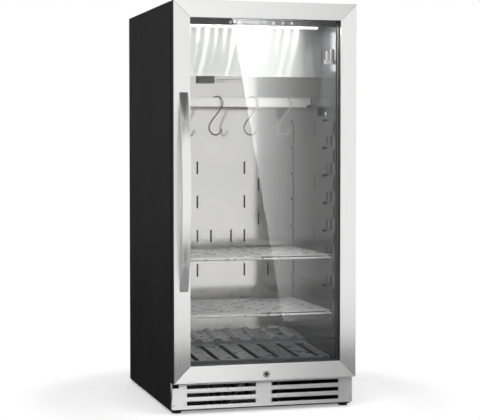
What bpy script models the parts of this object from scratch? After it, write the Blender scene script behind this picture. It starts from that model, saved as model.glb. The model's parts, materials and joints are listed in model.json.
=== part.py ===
"""A dry aging cabinet: a black steel cabinet with a mitred, glazed steel door, a hanging bar with
hooks, two wire shelves, a corrugated rack and its cooling machine in the base.

Metres, +Z up. The door faces -Y and hinges on +X. The origin is at the middle of the footprint,
on the floor.
"""

import math

import bmesh
import bpy
from mathutils import Matrix, Vector

# Overall
CABINET_WIDTH = 0.595
CABINET_DEPTH = 0.720
CABINET_HEIGHT = 1.280
FLOOR_GAP = 0.008
GAP = 0.0003
OVERRUN = 0.01
WELD = 0.00001

# Door
DOOR_UNDERCUT = 0.0928
RAIL_WIDTH = 0.0525
RAIL_SHEET = 0.0015
RAIL_RETURN = 0.0045
RAIL_LIP = 0.0040
MITRE_JOINT = 0.0004
DOOR_CORE_DEPTH = 0.0300
PLINTH_INSET = 0.0200
PLINTH_DEPTH = 0.0075
GLASS_OVERLAP = 0.0120
GLASS_THICKNESS = 0.0040
GLASS_CAVITY = 0.0120
GLASS_PLAY = 0.0006
SPACER_WIDTH = 0.0080
SPACER_EDGE = 0.0005
GASKET_INSET = 0.0300
GASKET_WIDTH = 0.0180
GASKET_WAIST = 0.0030
GASKET_DEPTH = 0.0137

# Handle
HANDLE_LENGTH = 0.620
HANDLE_WIDTH = 0.0290
HANDLE_THICKNESS = 0.0070
HANDLE_REACH = 0.0450
HANDLE_INSET = 0.0314
HANDLE_RAISE = 0.0013
HANDLE_ROUND = 0.0018
HANDLE_STEPS = 20

# Lock
LOCK_RISE = 0.0202
LOCK_RING_RADIUS = 0.0120
LOCK_RING_DEPTH = 0.0025
LOCK_RING_LIP = 0.0012
LOCK_BARREL_RADIUS = 0.0055
LOCK_BARREL_PROUD = 0.0012
LOCK_PLAY = 0.0004
KEYHOLE_WIDTH = 0.0022
KEYHOLE_HEIGHT = 0.0070
KEYHOLE_DEPTH = 0.0060
CAM_THICKNESS = 0.0025
CAM_WIDTH = 0.0090
CAM_LENGTH = 0.0200
CAM_CLEARANCE = 0.0008
KEEPER_SHEET = 0.0020
KEEPER_REACH = 0.0190
KEEPER_HEIGHT = 0.0110
KEEPER_WIDTH = 0.0200
KEEPER_JAW_WIDTH = 0.0160
KEEPER_RISE = 0.0009

# Hinges
HINGE_INSET = 0.0160
HINGE_SETBACK = 0.0190
HINGE_PIN_RADIUS = 0.0040
HINGE_PIN_LENGTH = 0.0140
HINGE_LEAF_SHEET = 0.0030
HINGE_LEAF_DROP = 0.0035
HINGE_LEAF_WIDTH = 0.0140
HINGE_LEG_SHEET = 0.0025
HINGE_LEG_HEIGHT = 0.0410
HINGE_LEG_WIDTH = 0.0190
HINGE_POCKET_FLOOR = 0.0098
HINGE_POCKET_REACH = 0.0095
HINGE_PIN_PLAY = 0.0001
BUSH_RADIUS = 0.0060
BUSH_FLANGE_RADIUS = 0.0080
BUSH_FLANGE = 0.0015
BUSH_LENGTH = 0.0130
HINGE_STEPS = 24

# Cabinet walls
SKIN = 0.0010
FRONT_FLANGE = 0.0230
REAR_FLANGE = 0.0150
TOP_FLANGE = 0.0230
WALL = 0.0525
LINER = 0.0020
LINER_FLANGE_PLAY = 0.0005
CAVITY_FLOOR = 0.1530
CEILING_DROP = 0.0510
REAR_WALL = 0.0992
AIR_CHAMBER = 0.1148
FOAM_BOTTOM = 0.1080
BAY_TOP = 0.2850
BAY_DEPTH = 0.1800
STEP_THICKNESS = 0.0500
COVER_TOP = 0.3100
REAR_RECESS = 0.0105
REAR_EMBOSS = 0.0012
REAR_EMBOSS_MARGIN = 0.0600
REAR_EMBOSS_COUNT = 3

# Shelf rails moulded in the side liners
RAIL_PITCH = 0.0902
LOWEST_RAIL_TOP = 0.2950
LEDGE_HEIGHT = 0.0070
LEDGE_REACH = 0.0095
LEDGE_FRONT = 0.1000
PAD_RAISE = 0.0024
PAD_HEIGHT = 0.0400
PAD_FRONT = 0.0148
PAD_REAR = 0.0120
PAD_SEAM = 0.0040
PAD_SPLIT = 0.2070
SLAB_RAISE = 0.0020
SLAB_JOINT = 0.0042
SLAB_FRONT = 0.0422
SLAB_POCKET_FRONT = 0.0696
SLAB_POCKET_WIDTH = 0.0140
SLAB_POCKET_MARGIN = 0.0035
PAD_JOINT = 0.0030

# Small bracket on the right wall
WALL_BRACKET_SETBACK = 0.0800
WALL_BRACKET_DEPTH = 0.0100
WALL_BRACKET_DROP = 0.1350
WALL_BRACKET_BASE_HEIGHT = 0.0130
WALL_BRACKET_REACH = 0.0260
WALL_BRACKET_ARM = 0.0055
WALL_BRACKET_SHORT_ARM = 0.0290
WALL_BRACKET_LONG_ARM = 0.0360

# Stainless rear air panel
AIR_PANEL_SHEET = 0.0012
SLOT_WIDTH = 0.0060
SLOT_HEIGHT = 0.0430
SLOT_CENTRE = -0.0205
SLOT_COLUMNS = (0.0357, 0.0838, 0.1348, 0.1690)
SLOT_ROW_PITCH = 0.1180
SLOT_FIRST_ROW = 0.4100
DUCT_INLET_WIDTH = 0.3000
DUCT_INLET_RISE = 0.0360
DUCT_INLET_HEIGHT = 0.0800

# Duct cover in the upper rear of the cavity
DUCT_SETBACK = 0.1950
DUCT_HEIGHT = 0.1730
DUCT_SHEET = 0.0012
DUCT_LIP = 0.0060
FAN_GRILLE_REAR = 0.0840
FAN_GRILLE_SIDE = -0.0180
FAN_GRILLE_RADIUS = 0.0480
FAN_GRILLE_SLOT = 0.0060
FAN_GRILLE_PITCH = 0.0120
FAN_FRAME_SIDE = 0.1200
FAN_FRAME_DEPTH = 0.0250
FAN_BORE_RADIUS = 0.0520
FAN_RADIUS = 0.0480
FAN_HUB_RADIUS = 0.0160
FAN_HUB_DEPTH = 0.0160
FAN_BLADE_SHEET = 0.0020
FAN_BLADE_CHORD = 0.0170
FAN_BLADE_PITCH_DEG = 38.0
FAN_BLADES = 7
FAN_STRUT = 0.0050
FAN_STRUT_DEPTH = 0.0040
FAN_MOTOR_DEPTH = 0.0060
EVAPORATOR_WIDTH = 0.3600
EVAPORATOR_HEIGHT = 0.2000
EVAPORATOR_DEPTH = 0.0600
EVAPORATOR_DROP = 0.0140
FIN_SHEET = 0.0008
FIN_PITCH = 0.0240
COIL_RADIUS = 0.0040
COIL_ROWS = 4
LAMP_LEFT = -0.1580
LAMP_FRONT_INSET = 0.0650
LAMP_DEPTH = 0.0300
LAMP_WIDTH = 0.0560
LAMP_HEIGHT = 0.0195
LAMP_SHELL = 0.0020
LAMP_TUBE_RADIUS = 0.0060
LAMP_TUBE_RAISE = 0.0085

# Controls and light under the ceiling
CONTROL_SETBACK = 0.0560
CONTROL_DEPTH = 0.0320
CONTROL_HEIGHT = 0.0167
CONTROL_SLOPE = 0.0060
CONTROL_END = 0.0006
DISPLAY_WIDTH = 0.2600
DISPLAY_HEIGHT = 0.0110
DISPLAY_RECESS = 0.0008
DISPLAY_DROP = 0.0030
LIGHT_BAR_DEPTH = 0.0200
LIGHT_BAR_HEIGHT = 0.0142
LIGHT_BAR_LEFT_INSET = 0.0050
LIGHT_BAR_RIGHT_INSET = 0.0480
LENS_RADIUS = 0.0085
LENS_STEPS = 8

# Hanging bar and hooks
BAR_SETBACK = 0.3100
BAR_HEIGHT = 0.0314
BAR_THICKNESS = 0.0060
BAR_DROP = 0.2370
BAR_END_PLAY = 0.0015
BAR_ROUND = 0.0008
BRACKET_FRONT = 0.1900
BRACKET_REAR = 0.3300
BRACKET_HEIGHT = 0.0310
BRACKET_REACH = 0.0150
BRACKET_EAR = 0.0080
BRACKET_EAR_WIDTH = 0.0060
HOOK_PLACE_SHARES = (-0.3335, 0.1634, 0.6407)
HOOK_WIRE_RADIUS = 0.0025
HOOK_LENGTH = 0.1330
HOOK_TOP_HALF_WIDTH = 0.0225
HOOK_TOP_HEIGHT = 0.0240
HOOK_LOW_HALF_WIDTH = 0.0255
HOOK_LOW_HEIGHT = 0.0260
HOOK_LOW_OFFSET = 0.0060
HOOK_TURN_DEG = 45.0
HOOK_SEAT_PLAY = 0.0007
HOOK_TAIL_DEG = 3.0
HOOK_TIP_DEG = 14.0
HOOK_SHANK_PULL_SHARE = 0.26
HOOK_ARC_STEPS = 10
HOOK_SHANK_STEPS = 6

# Shelves
SHELF_FRONT = 0.0740
SHELF_REAR_PLAY = 0.0080
SHELF_SIDE_PLAY = 0.0012
SHELF_FRAME_RADIUS = 0.0030
SHELF_FRONT_BAR_RADIUS = 0.0034
SHELF_WIRE_RADIUS = 0.0015
SHELF_WIRE_PITCH = 0.0248
SHELF_STRINGER_RISE = 0.0054
SHELF_STRINGER_RADIUS = 0.0027
SHELF_STRINGER_INSET = 0.0140
SHELF_DECK_RISE = 0.0089
SHELF_WIRE_SIDES = 6
SHELF_FRAME_SIDES = 8
UPPER_SHELF_RAIL = 2
LOWER_SHELF_RAIL = 0

# Corrugated rack on the cavity floor
RACK_FRONT = 0.0850
RACK_EDGE = 0.3500
RACK_REAR_PLAY = 0.0050
RACK_SIDE_PLAY = 0.0030
RACK_SHEET = 0.0030
RACK_TOP = 0.1820
RACK_REAR_RISE = 0.0170
RACK_RIDGE_PITCH = 0.0670
RACK_RIDGE_WIDTH = 0.0290
RACK_RIDGE_HEIGHT = 0.0100
RACK_END_FLAT = 0.0060
RACK_RIDGE_STEPS = 6
RACK_FRONT_RISE = 0.0045
RACK_APRON_TOP = 0.1720
RACK_SLOT_WIDTH = 0.0180
RACK_SLOT_FRONT = 0.0080
RACK_SLOT_REAR = 0.0140

# Kick grille
GRILLE_SETBACK = 0.0304
GRILLE_BOTTOM = 0.0146
GRILLE_DOOR_GAP = 0.0043
GRILLE_SHEET = 0.0012
GRILLE_SIDE_PLAY = 0.0003
GRILLE_SIDE_MARGIN = 0.0475
GRILLE_POST_HALF = 0.0260
GRILLE_SLOT_HEIGHT = 0.0123
GRILLE_SLOT_PITCH = 0.0260
GRILLE_SLOT_RISE = 0.0116
GRILLE_SLOTS = 3
GRILLE_BAR_ROLL_RADIUS = 0.0090
GRILLE_BAR_SHEET = 0.0012
GRILLE_BAR_PROUD = 0.0002
GRILLE_BAR_BITE = 0.0015
GRILLE_BAR_STEPS = 6
GRILLE_NOTCH_WIDTH = 0.0210
GRILLE_NOTCH_HEIGHT = 0.0130
GRILLE_NOTCH_DROP = 0.0018

# Base frame and feet
PAN_SHEET = 0.0020
PAN_LIP_TOP = 0.0140
PAN_FLANGE_HEIGHT = 0.0400
UPRIGHT_WIDTH = 0.0200
BEAM_DEPTH = 0.0140
BEAM_HEIGHT = 0.0170
FOOT_RADIUS = 0.0155
FOOT_PAD = 0.0062
FOOT_CHAMFER = 0.0015
FOOT_STUD_RADIUS = 0.0048
FOOT_STUD_TOP = 0.0300
FOOT_STUD_PLAY = 0.0005
FOOT_BOSS_RADIUS = 0.0100
FOOT_BOSS_HEIGHT = 0.0120
FOOT_SIDE_INSET = 0.0210
FOOT_FRONT_INSET = 0.0122
FOOT_REAR_INSET = 0.1200
FOOT_STEPS = 24

# Cooling machine in the base
COMPRESSOR_RADIUS = 0.0720
COMPRESSOR_HEIGHT = 0.1750
COMPRESSOR_DOME = 0.0450
COMPRESSOR_REAR_INSET = 0.0970
COMPRESSOR_SIDE = 0.1050
COMPRESSOR_FOOT = 0.0150
COMPRESSOR_PLATE = 0.0030
COMPRESSOR_PLATE_RISE = 0.0080
COMPRESSOR_PLATE_HALF = 0.0760
COMPRESSOR_SEAM = 0.0030
COMPRESSOR_STEPS = 24
CONDENSER_WIDTH = 0.2600
CONDENSER_DEPTH = 0.0400
CONDENSER_SETBACK = 0.1150
CONDENSER_SIDE = -0.0400
CONDENSER_HEIGHT = 0.0900
CONDENSER_ROWS = 3
CONDENSER_FAN_FRAME = 0.0880
CONDENSER_FAN_RADIUS = 0.0370
CONDENSER_FAN_BORE = 0.0405
CONDENSER_MOTOR_RADIUS = 0.0128
DRIP_TRAY_SIZE = (0.2000, 0.1400, 0.0300)
DRIP_TRAY_MARGIN = 0.0725
DRIP_TRAY_REAR_INSET = 0.0970
DRIP_TRAY_SHEET = 0.0020
DRIP_TRAY_LEG = 0.0100
COVER_SHEET = 0.0012
COVER_SLOT_WIDTH = 0.0900
COVER_SLOT_HEIGHT = 0.0060
COVER_SLOT_PITCH_X = 0.1050
COVER_SLOT_PITCH_Z = 0.0150
COVER_SLOT_COLUMNS = 4
COVER_SLOT_ROWS = 10
COVER_SLOT_RISE = 0.1080
INLET_MARGIN = 0.0675
INLET_RISE = 0.0500
INLET_WIDTH = 0.0280
INLET_HEIGHT = 0.0200
INLET_FLANGE = 0.0040
INLET_FLANGE_SHEET = 0.0020
INLET_DEPTH = 0.0180
INLET_WALL = 0.0020
INLET_PIN_WIDTH = 0.0020
INLET_PIN_HEIGHT = 0.0050
INLET_PIN_LENGTH = 0.0120
INLET_PIN_SPACING = 0.0070

# Places worked out from the sizes above
HALF = CABINET_WIDTH / 2
DOOR_FRONT = HANDLE_REACH - (CABINET_DEPTH + HANDLE_REACH) / 2
TOP = FLOOR_GAP + CABINET_HEIGHT
DOOR_BOTTOM = FLOOR_GAP + DOOR_UNDERCUT
DOOR_HEIGHT = TOP - DOOR_BOTTOM
CAVITY_HALF = HALF - WALL
CAVITY_TOP = TOP - CEILING_DROP
DUCT_BOTTOM = CAVITY_TOP - DUCT_HEIGHT
BAR_BOTTOM = CAVITY_TOP - BAR_DROP - BAR_HEIGHT
BAR_HALF = CAVITY_HALF - BAR_END_PLAY
BRACKET_SEAT = BAR_BOTTOM - GAP
STEP_TOP = BAY_TOP + STEP_THICKNESS
SLAB_HEIGHT = RAIL_PITCH - LEDGE_HEIGHT - PAD_HEIGHT - 2 * PAD_JOINT - SLAB_JOINT
RAIL_COUNT = int((BRACKET_SEAT - BRACKET_HEIGHT - LOWEST_RAIL_TOP) / RAIL_PITCH) + 1
RACK_HALF = CAVITY_HALF - RACK_SIDE_PLAY
RACK_RIDGES = 2 * int((RACK_HALF - RACK_END_FLAT - RACK_RIDGE_WIDTH / 2) / RACK_RIDGE_PITCH) + 1
GRILLE_TOP = DOOR_BOTTOM - GRILLE_DOOR_GAP
GRILLE_SLOT_LENGTH = HALF - GRILLE_SIDE_MARGIN - GRILLE_POST_HALF
PAN_BOTTOM = FOOT_PAD + GAP
HINGE_X = HALF - HINGE_INSET
INLET_SIDE = HALF - INLET_MARGIN
DRIP_TRAY_SIDE = DRIP_TRAY_MARGIN + DRIP_TRAY_SIZE[0] / 2 - HALF


def behind(depth):
    """The Y of a plane this far behind the door's front face."""
    return DOOR_FRONT + depth


REAR = behind(CABINET_DEPTH)
REAR_SKIN = behind(CABINET_DEPTH - REAR_RECESS)
CHAMBER_REAR = REAR_SKIN - GAP - REAR_WALL
AIR_PANEL_Y = CHAMBER_REAR - AIR_CHAMBER - AIR_PANEL_SHEET
BAY_FRONT = REAR - BAY_DEPTH
DUCT_FRONT = behind(DUCT_SETBACK)
FAN_GRILLE_Y = AIR_PANEL_Y - FAN_GRILLE_REAR
COMPRESSOR_Y = REAR - COMPRESSOR_REAR_INSET
DRIP_TRAY_Y = REAR - DRIP_TRAY_REAR_INSET
STEP_FRONT = AIR_PANEL_Y + AIR_PANEL_SHEET + GAP
GLASS_Y = behind(RAIL_LIP + GAP)
INNER_GLASS_Y = GLASS_Y + GLASS_THICKNESS + GLASS_CAVITY + 2 * GAP
GLASS_REAR = INNER_GLASS_Y + GLASS_THICKNESS
PLINTH_REAR = behind(DOOR_CORE_DEPTH + PLINTH_DEPTH)
BODY_FRONT = PLINTH_REAR + GASKET_DEPTH + 2 * GAP
HINGE_Y = behind(HINGE_SETBACK)
LOCK_Z = DOOR_BOTTOM + LOCK_RISE

PLANES = {
    "XY": Matrix.Identity(3),
    "XZ": Matrix(((1, 0, 0), (0, 0, -1), (0, 1, 0))),
    "YZ": Matrix(((0, 0, 1), (1, 0, 0), (0, 1, 0))),
}
AXIS_TURNS = {
    "Z": (0, 0, 0),
    "Y": (-math.pi / 2, 0, 0),
    "X": (0, math.pi / 2, 0),
}


def start_scene():
    """Clears the scene and makes one collection for the parts and one for the cutters."""
    for obj in list(bpy.data.objects):
        bpy.data.objects.remove(obj, do_unlink=True)
    for name in ("dry_aging_cabinet", "cutters"):
        bpy.context.scene.collection.children.link(bpy.data.collections.new(name))


def finish(name, colour, roughness, metallic=0.0, transmission=0.0):
    """A Principled material."""
    made = bpy.data.materials.new(name)
    made.use_nodes = True
    shader = made.node_tree.nodes["Principled BSDF"]
    shader.inputs["Base Color"].default_value = (*colour, 1)
    shader.inputs["Roughness"].default_value = roughness
    shader.inputs["Metallic"].default_value = metallic
    shader.inputs["Transmission Weight"].default_value = transmission
    return made


def box_mesh(boxes):
    """A mesh of boxes, each given by its low and its high corner."""
    shape = bmesh.new()
    for low, high in boxes:
        low, high = Vector(low), Vector(high)
        scaled = Matrix.Diagonal((*(high - low), 1))
        bmesh.ops.create_cube(shape, size=1, matrix=Matrix.Translation((low + high) / 2) @ scaled)
    return mesh_of(shape)


def rod_mesh(rods, sides):
    """A mesh of straight round rods, each given by its two ends and its radius."""
    shape = bmesh.new()
    for start, end, radius in rods:
        start, end = Vector(start), Vector(end)
        run = end - start
        turned = run.to_track_quat("Z", "Y").to_matrix().to_4x4()
        bmesh.ops.create_cone(
            shape, cap_ends=True, segments=sides, radius1=radius, radius2=radius, depth=run.length,
            matrix=Matrix.Translation((start + end) / 2) @ turned,
        )
    return mesh_of(shape)


def mesh_of(shape):
    made = bpy.data.meshes.new("shape")
    shape.to_mesh(made)
    shape.free()
    return made


def place(name, mesh, material, parent_collection="dry_aging_cabinet"):
    """Puts a mesh in the scene as one piece of the cabinet."""
    mesh.name = name
    mesh.materials.append(material)
    obj = bpy.data.objects.new(name, mesh)
    bpy.data.collections[parent_collection].objects.link(obj)
    return obj


def combine(obj, mesh, operation):
    """Cuts a mesh from a piece, or joins it on, with a Boolean modifier."""
    helper = place(f"{obj.name}_{operation.lower()}", mesh, obj.active_material, "cutters")
    helper.location = obj.location
    helper.rotation_euler = obj.rotation_euler
    helper.hide_render = True
    helper.display_type = "WIRE"
    boolean = obj.modifiers.new(operation.title(), "BOOLEAN")
    boolean.operation = operation
    boolean.object = helper
    return obj


def cut(obj, mesh):
    return combine(obj, mesh, "DIFFERENCE")


def join(obj, mesh):
    return combine(obj, mesh, "UNION")


def boxes(name, material, base, *more):
    """One box, with the boxes that overlap it joined on in turn."""
    obj = place(name, box_mesh([base]), material)
    for extra in more:
        join(obj, box_mesh([extra]))
    return obj


def sheet(name, outlines, low, high, plane, material):
    """A flat piece: outlines in a plane, and holes inside them, thick from low to high."""
    curve = bpy.data.curves.new(name, "CURVE")
    curve.dimensions = "2D"
    curve.fill_mode = "BOTH"
    curve.extrude = (high - low) / 2
    for outline in outlines:
        spline = curve.splines.new("POLY")
        spline.points.add(len(outline) - 1)
        for point, (u, v) in zip(spline.points, outline):
            point.co = (u, v, 0, 1)
        spline.use_cyclic_u = True
    curve.materials.append(material)
    obj = bpy.data.objects.new(name, curve)
    bpy.data.collections["dry_aging_cabinet"].objects.link(obj)
    turn = PLANES[plane]
    middle = (low + high) / 2
    normal = Vector(abs(part) for part in turn.col[2])
    obj.matrix_world = Matrix.Translation(normal * middle) @ turn.to_4x4()
    return obj


def baked(obj):
    """A curve made a closed mesh in world space, so that it can be cut, joined or bevelled."""
    bpy.context.view_layer.update()
    evaluated = obj.evaluated_get(bpy.context.evaluated_depsgraph_get())
    mesh = bpy.data.meshes.new_from_object(evaluated)
    mesh.transform(obj.matrix_world)
    shape = bmesh.new()
    shape.from_mesh(mesh)
    bmesh.ops.remove_doubles(shape, verts=shape.verts, dist=WELD)
    bmesh.ops.recalc_face_normals(shape, faces=shape.faces)
    shape.to_mesh(mesh)
    shape.free()
    return mesh


def solid_sheet(name, outlines, low, high, plane, material):
    """A sheet as a mesh piece."""
    flat = sheet(name + "_outline", outlines, low, high, plane, material)
    mesh = baked(flat)
    mesh.materials.clear()
    bpy.data.objects.remove(flat)
    return place(name, mesh, material)


def lathe(name, profile, centre, axis, steps, material, ring=False):
    """A turned piece: radius and height pairs, down the outer side, about an axis."""
    mesh = bpy.data.meshes.new(name)
    count = len(profile)
    edges = [(i, i + 1) for i in range(count - 1)] + ([(count - 1, 0)] if ring else [])
    mesh.from_pydata([(radius, 0, height) for radius, height in profile], edges, [])
    obj = place(name, mesh, material)
    obj.location = centre
    obj.rotation_euler = AXIS_TURNS[axis]
    screw = obj.modifiers.new("Screw", "SCREW")
    screw.steps = steps
    screw.render_steps = steps
    screw.use_merge_vertices = True
    screw.merge_threshold = WELD
    return obj


def loft(name, sections, material, closed=False):
    """A piece lofted through its sections."""
    return place(name, loft_mesh(sections, closed), material)


def pivot(name, centre, *pieces):
    """An empty on a joint's axis that carries the pieces which move with it."""
    empty = bpy.data.objects.new(name, None)
    empty.location = centre
    bpy.data.collections["dry_aging_cabinet"].objects.link(empty)
    bpy.context.view_layer.update()
    for piece in pieces:
        piece.parent = empty
        piece.matrix_parent_inverse = empty.matrix_world.inverted()
    return empty


def rectangle(low, high):
    return [(low[0], low[1]), (high[0], low[1]), (high[0], high[1]), (low[0], high[1])]


def mirrored(low, high, side):
    """A box with its X flipped for the left side."""
    if side > 0:
        return low, high
    return (-high[0], low[1], low[2]), (-low[0], high[1], high[2])


def loft_mesh(sections, closed=False):
    """Faces between sections of equally many points, capped unless the sections close a ring."""
    shape = bmesh.new()
    rings = [[shape.verts.new(point) for point in section] for section in sections]
    count = len(rings[0])
    pairs = list(zip(rings, rings[1:] + rings[:1])) if closed else list(zip(rings, rings[1:]))
    for near, far in pairs:
        for i in range(count):
            j = (i + 1) % count
            shape.faces.new((near[i], near[j], far[j], far[i]))
    if not closed:
        shape.faces.new(rings[0])
        shape.faces.new(rings[-1])
    bmesh.ops.recalc_face_normals(shape, faces=shape.faces)
    return mesh_of(shape)


def prism(outline, low, high, plane):
    """The mesh of an outline in a plane, thick from low to high."""
    turn = PLANES[plane]
    normal = Vector(abs(part) for part in turn.col[2])
    return loft_mesh([
        [turn @ Vector((u, v, 0)) + normal * level for u, v in outline] for level in (low, high)
    ])


def build_shell(skins):
    """The black steel skins, the rear panel and the cover of the machine space."""
    for side, name in ((-1, "side_panel_left"), (1, "side_panel_right")):
        outline = [
            (HALF, BODY_FRONT), (HALF, REAR), (HALF - REAR_FLANGE, REAR),
            (HALF - REAR_FLANGE, REAR - SKIN), (HALF - SKIN, REAR - SKIN),
            (HALF - SKIN, BODY_FRONT + SKIN), (HALF - FRONT_FLANGE, BODY_FRONT + SKIN),
            (HALF - FRONT_FLANGE, BODY_FRONT),
        ]
        sheet(name, [[(side * x, y) for x, y in outline]], FLOOR_GAP, TOP, "XY", skins)
    inner, flange = HALF - SKIN - GAP, HALF - FRONT_FLANGE - GAP
    step = BODY_FRONT + SKIN + GAP
    plan = [
        (-flange, BODY_FRONT), (flange, BODY_FRONT), (flange, step), (inner, step),
        (inner, REAR_SKIN - GAP), (-inner, REAR_SKIN - GAP), (-inner, step), (-flange, step),
    ]
    top = place("top_panel", prism(plan, TOP - SKIN, TOP, "XY"), skins)
    join(top, box_mesh([(
        (SKIN - flange, BODY_FRONT, TOP - TOP_FLANGE), (flange - SKIN, BODY_FRONT + SKIN, TOP - SKIN / 2),
    )]))
    rear_low = COVER_TOP + GAP
    rear = boxes(
        "rear_panel", skins, ((-inner, REAR_SKIN, rear_low), (inner, REAR_SKIN + SKIN, TOP))
    )
    pitch = (TOP - rear_low - 2 * REAR_EMBOSS_MARGIN) / REAR_EMBOSS_COUNT
    for i in range(REAR_EMBOSS_COUNT):
        low = rear_low + REAR_EMBOSS_MARGIN + i * pitch
        high = low + pitch - REAR_EMBOSS_MARGIN / 2
        join(rear, box_mesh([(
            (-inner + REAR_EMBOSS_MARGIN, REAR_SKIN + SKIN / 2, low),
            (inner - REAR_EMBOSS_MARGIN, REAR_SKIN + SKIN + REAR_EMBOSS, high),
        )]))


def build_machine_cover(skins, plastic):
    """The vented cover across the rear of the machine space, with the power inlet in it."""
    inner = HALF - SKIN - GAP
    low, high = PAN_BOTTOM + PAN_SHEET + GAP, COVER_TOP
    holes = []
    for row in range(COVER_SLOT_ROWS):
        for column in range(COVER_SLOT_COLUMNS):
            x = (column - (COVER_SLOT_COLUMNS - 1) / 2) * COVER_SLOT_PITCH_X - COVER_SLOT_HEIGHT
            z = low + COVER_SLOT_RISE + row * COVER_SLOT_PITCH_Z
            corner = (x - COVER_SLOT_WIDTH / 2, z - COVER_SLOT_HEIGHT / 2)
            holes.append(rectangle(corner, (corner[0] + COVER_SLOT_WIDTH, corner[1] + COVER_SLOT_HEIGHT)))
    inlet_z = low + INLET_RISE
    half_w, half_h = INLET_WIDTH / 2 + GAP, INLET_HEIGHT / 2 + GAP
    holes.append(rectangle(
        (INLET_SIDE - half_w, inlet_z - half_h), (INLET_SIDE + half_w, inlet_z + half_h),
    ))
    outline = rectangle((-inner, low), (inner, high))
    sheet("machine_cover", [outline, *holes], REAR_SKIN, REAR_SKIN + COVER_SHEET, "XZ", skins)
    build_inlet(inlet_z, plastic)


def build_inlet(inlet_z, plastic):
    """The three-pin power inlet, open to the rear."""
    face = REAR_SKIN + COVER_SHEET + GAP
    half_w, half_h = INLET_WIDTH / 2, INLET_HEIGHT / 2
    inlet = boxes(
        "power_inlet", plastic,
        ((INLET_SIDE - half_w, face - INLET_DEPTH, inlet_z - half_h),
         (INLET_SIDE + half_w, face + INLET_FLANGE_SHEET, inlet_z + half_h)),
        ((INLET_SIDE - half_w - INLET_FLANGE, face, inlet_z - half_h - INLET_FLANGE),
         (INLET_SIDE + half_w + INLET_FLANGE, face + INLET_FLANGE_SHEET, inlet_z + half_h + INLET_FLANGE)),
    )
    cut(inlet, box_mesh([(
        (INLET_SIDE - half_w + INLET_WALL, face - INLET_DEPTH + INLET_WALL, inlet_z - half_h + INLET_WALL),
        (INLET_SIDE + half_w - INLET_WALL, face + OVERRUN, inlet_z + half_h - INLET_WALL),
    )]))
    back = face - INLET_DEPTH + INLET_WALL / 2
    blades = []
    for i in (-1, 0, 1):
        x = INLET_SIDE + i * INLET_PIN_SPACING
        blades.append((
            (x - INLET_PIN_WIDTH / 2, back, inlet_z - INLET_PIN_HEIGHT / 2),
            (x + INLET_PIN_WIDTH / 2, back + INLET_PIN_LENGTH, inlet_z + INLET_PIN_HEIGHT / 2),
        ))
    join(inlet, box_mesh(blades))


def build_foam(foam):
    """The insulation between the skins and the liner: two sides, a roof and the stepped back,
    which runs under the cavity floor, up over the machine space and up behind the air chamber."""
    outer = HALF - SKIN - GAP
    inner = CAVITY_HALF + LINER + GAP
    front = BODY_FRONT + LINER + GAP
    rear = REAR_SKIN - GAP
    roof = TOP - SKIN - GAP
    for side, name in ((-1, "foam_left"), (1, "foam_right")):
        boxes(name, foam, mirrored((inner, front, FOAM_BOTTOM), (outer, rear, roof), side))
    ceiling = CAVITY_TOP + LINER + GAP
    across = inner - GAP
    boxes("foam_top", foam, ((-across, front, ceiling), (across, rear, roof)))
    floor = CAVITY_FLOOR - LINER - GAP
    step = STEP_FRONT
    outline = [
        (front, FOAM_BOTTOM), (BAY_FRONT, FOAM_BOTTOM), (BAY_FRONT, BAY_TOP), (rear, BAY_TOP),
        (rear, ceiling - GAP), (CHAMBER_REAR, ceiling - GAP), (CHAMBER_REAR, STEP_TOP),
        (step, STEP_TOP), (step, floor), (front, floor),
    ]
    half = CAVITY_HALF - GAP
    sheet("foam_back", [outline], -half, half, "YZ", foam)


def rail_boxes(side):
    """The moulded shelf rails of one side liner, as boxes that bite into its wall.

    Under each ledge lies a tall pad, and above each ledge but the top one a shorter slab.
    """
    front, rear = BODY_FRONT, AIR_PANEL_Y - PAD_REAR
    bite = LINER / 2
    split = front + PAD_SPLIT
    found = []
    for i in range(RAIL_COUNT):
        ledge_top = LOWEST_RAIL_TOP + i * RAIL_PITCH
        ledge_low = ledge_top - LEDGE_HEIGHT
        pad_high = ledge_low - PAD_JOINT
        pad_low = pad_high - PAD_HEIGHT
        found.append((LEDGE_REACH, front + LEDGE_FRONT, rear, ledge_low, ledge_top))
        if i % 2:
            found.append((PAD_RAISE, front + PAD_FRONT, split, pad_low, pad_high))
            found.append((PAD_RAISE, split + PAD_SEAM, rear, pad_low, pad_high))
        else:
            found.append((PAD_RAISE, front + PAD_FRONT, rear, pad_low, pad_high))
        if i < RAIL_COUNT - 1:
            low = ledge_top + PAD_JOINT
            found.append((SLAB_RAISE, front + SLAB_FRONT, rear, low, low + SLAB_HEIGHT))
    return [
        mirrored((CAVITY_HALF - reach, y_low, z_low), (CAVITY_HALF + bite, y_high, z_high), side)
        for reach, y_low, y_high, z_low, z_high in found
    ]


def slab_pockets(side):
    """The small upright recess near the front of each slab."""
    found = []
    near = BODY_FRONT + SLAB_POCKET_FRONT
    for i in range(RAIL_COUNT - 1):
        low = LOWEST_RAIL_TOP + i * RAIL_PITCH + PAD_JOINT + SLAB_POCKET_MARGIN
        high = low + SLAB_HEIGHT - 2 * SLAB_POCKET_MARGIN
        found.append(mirrored(
            (CAVITY_HALF - OVERRUN, near, low),
            (CAVITY_HALF - GAP, near + SLAB_POCKET_WIDTH, high), side,
        ))
    return found


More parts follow.
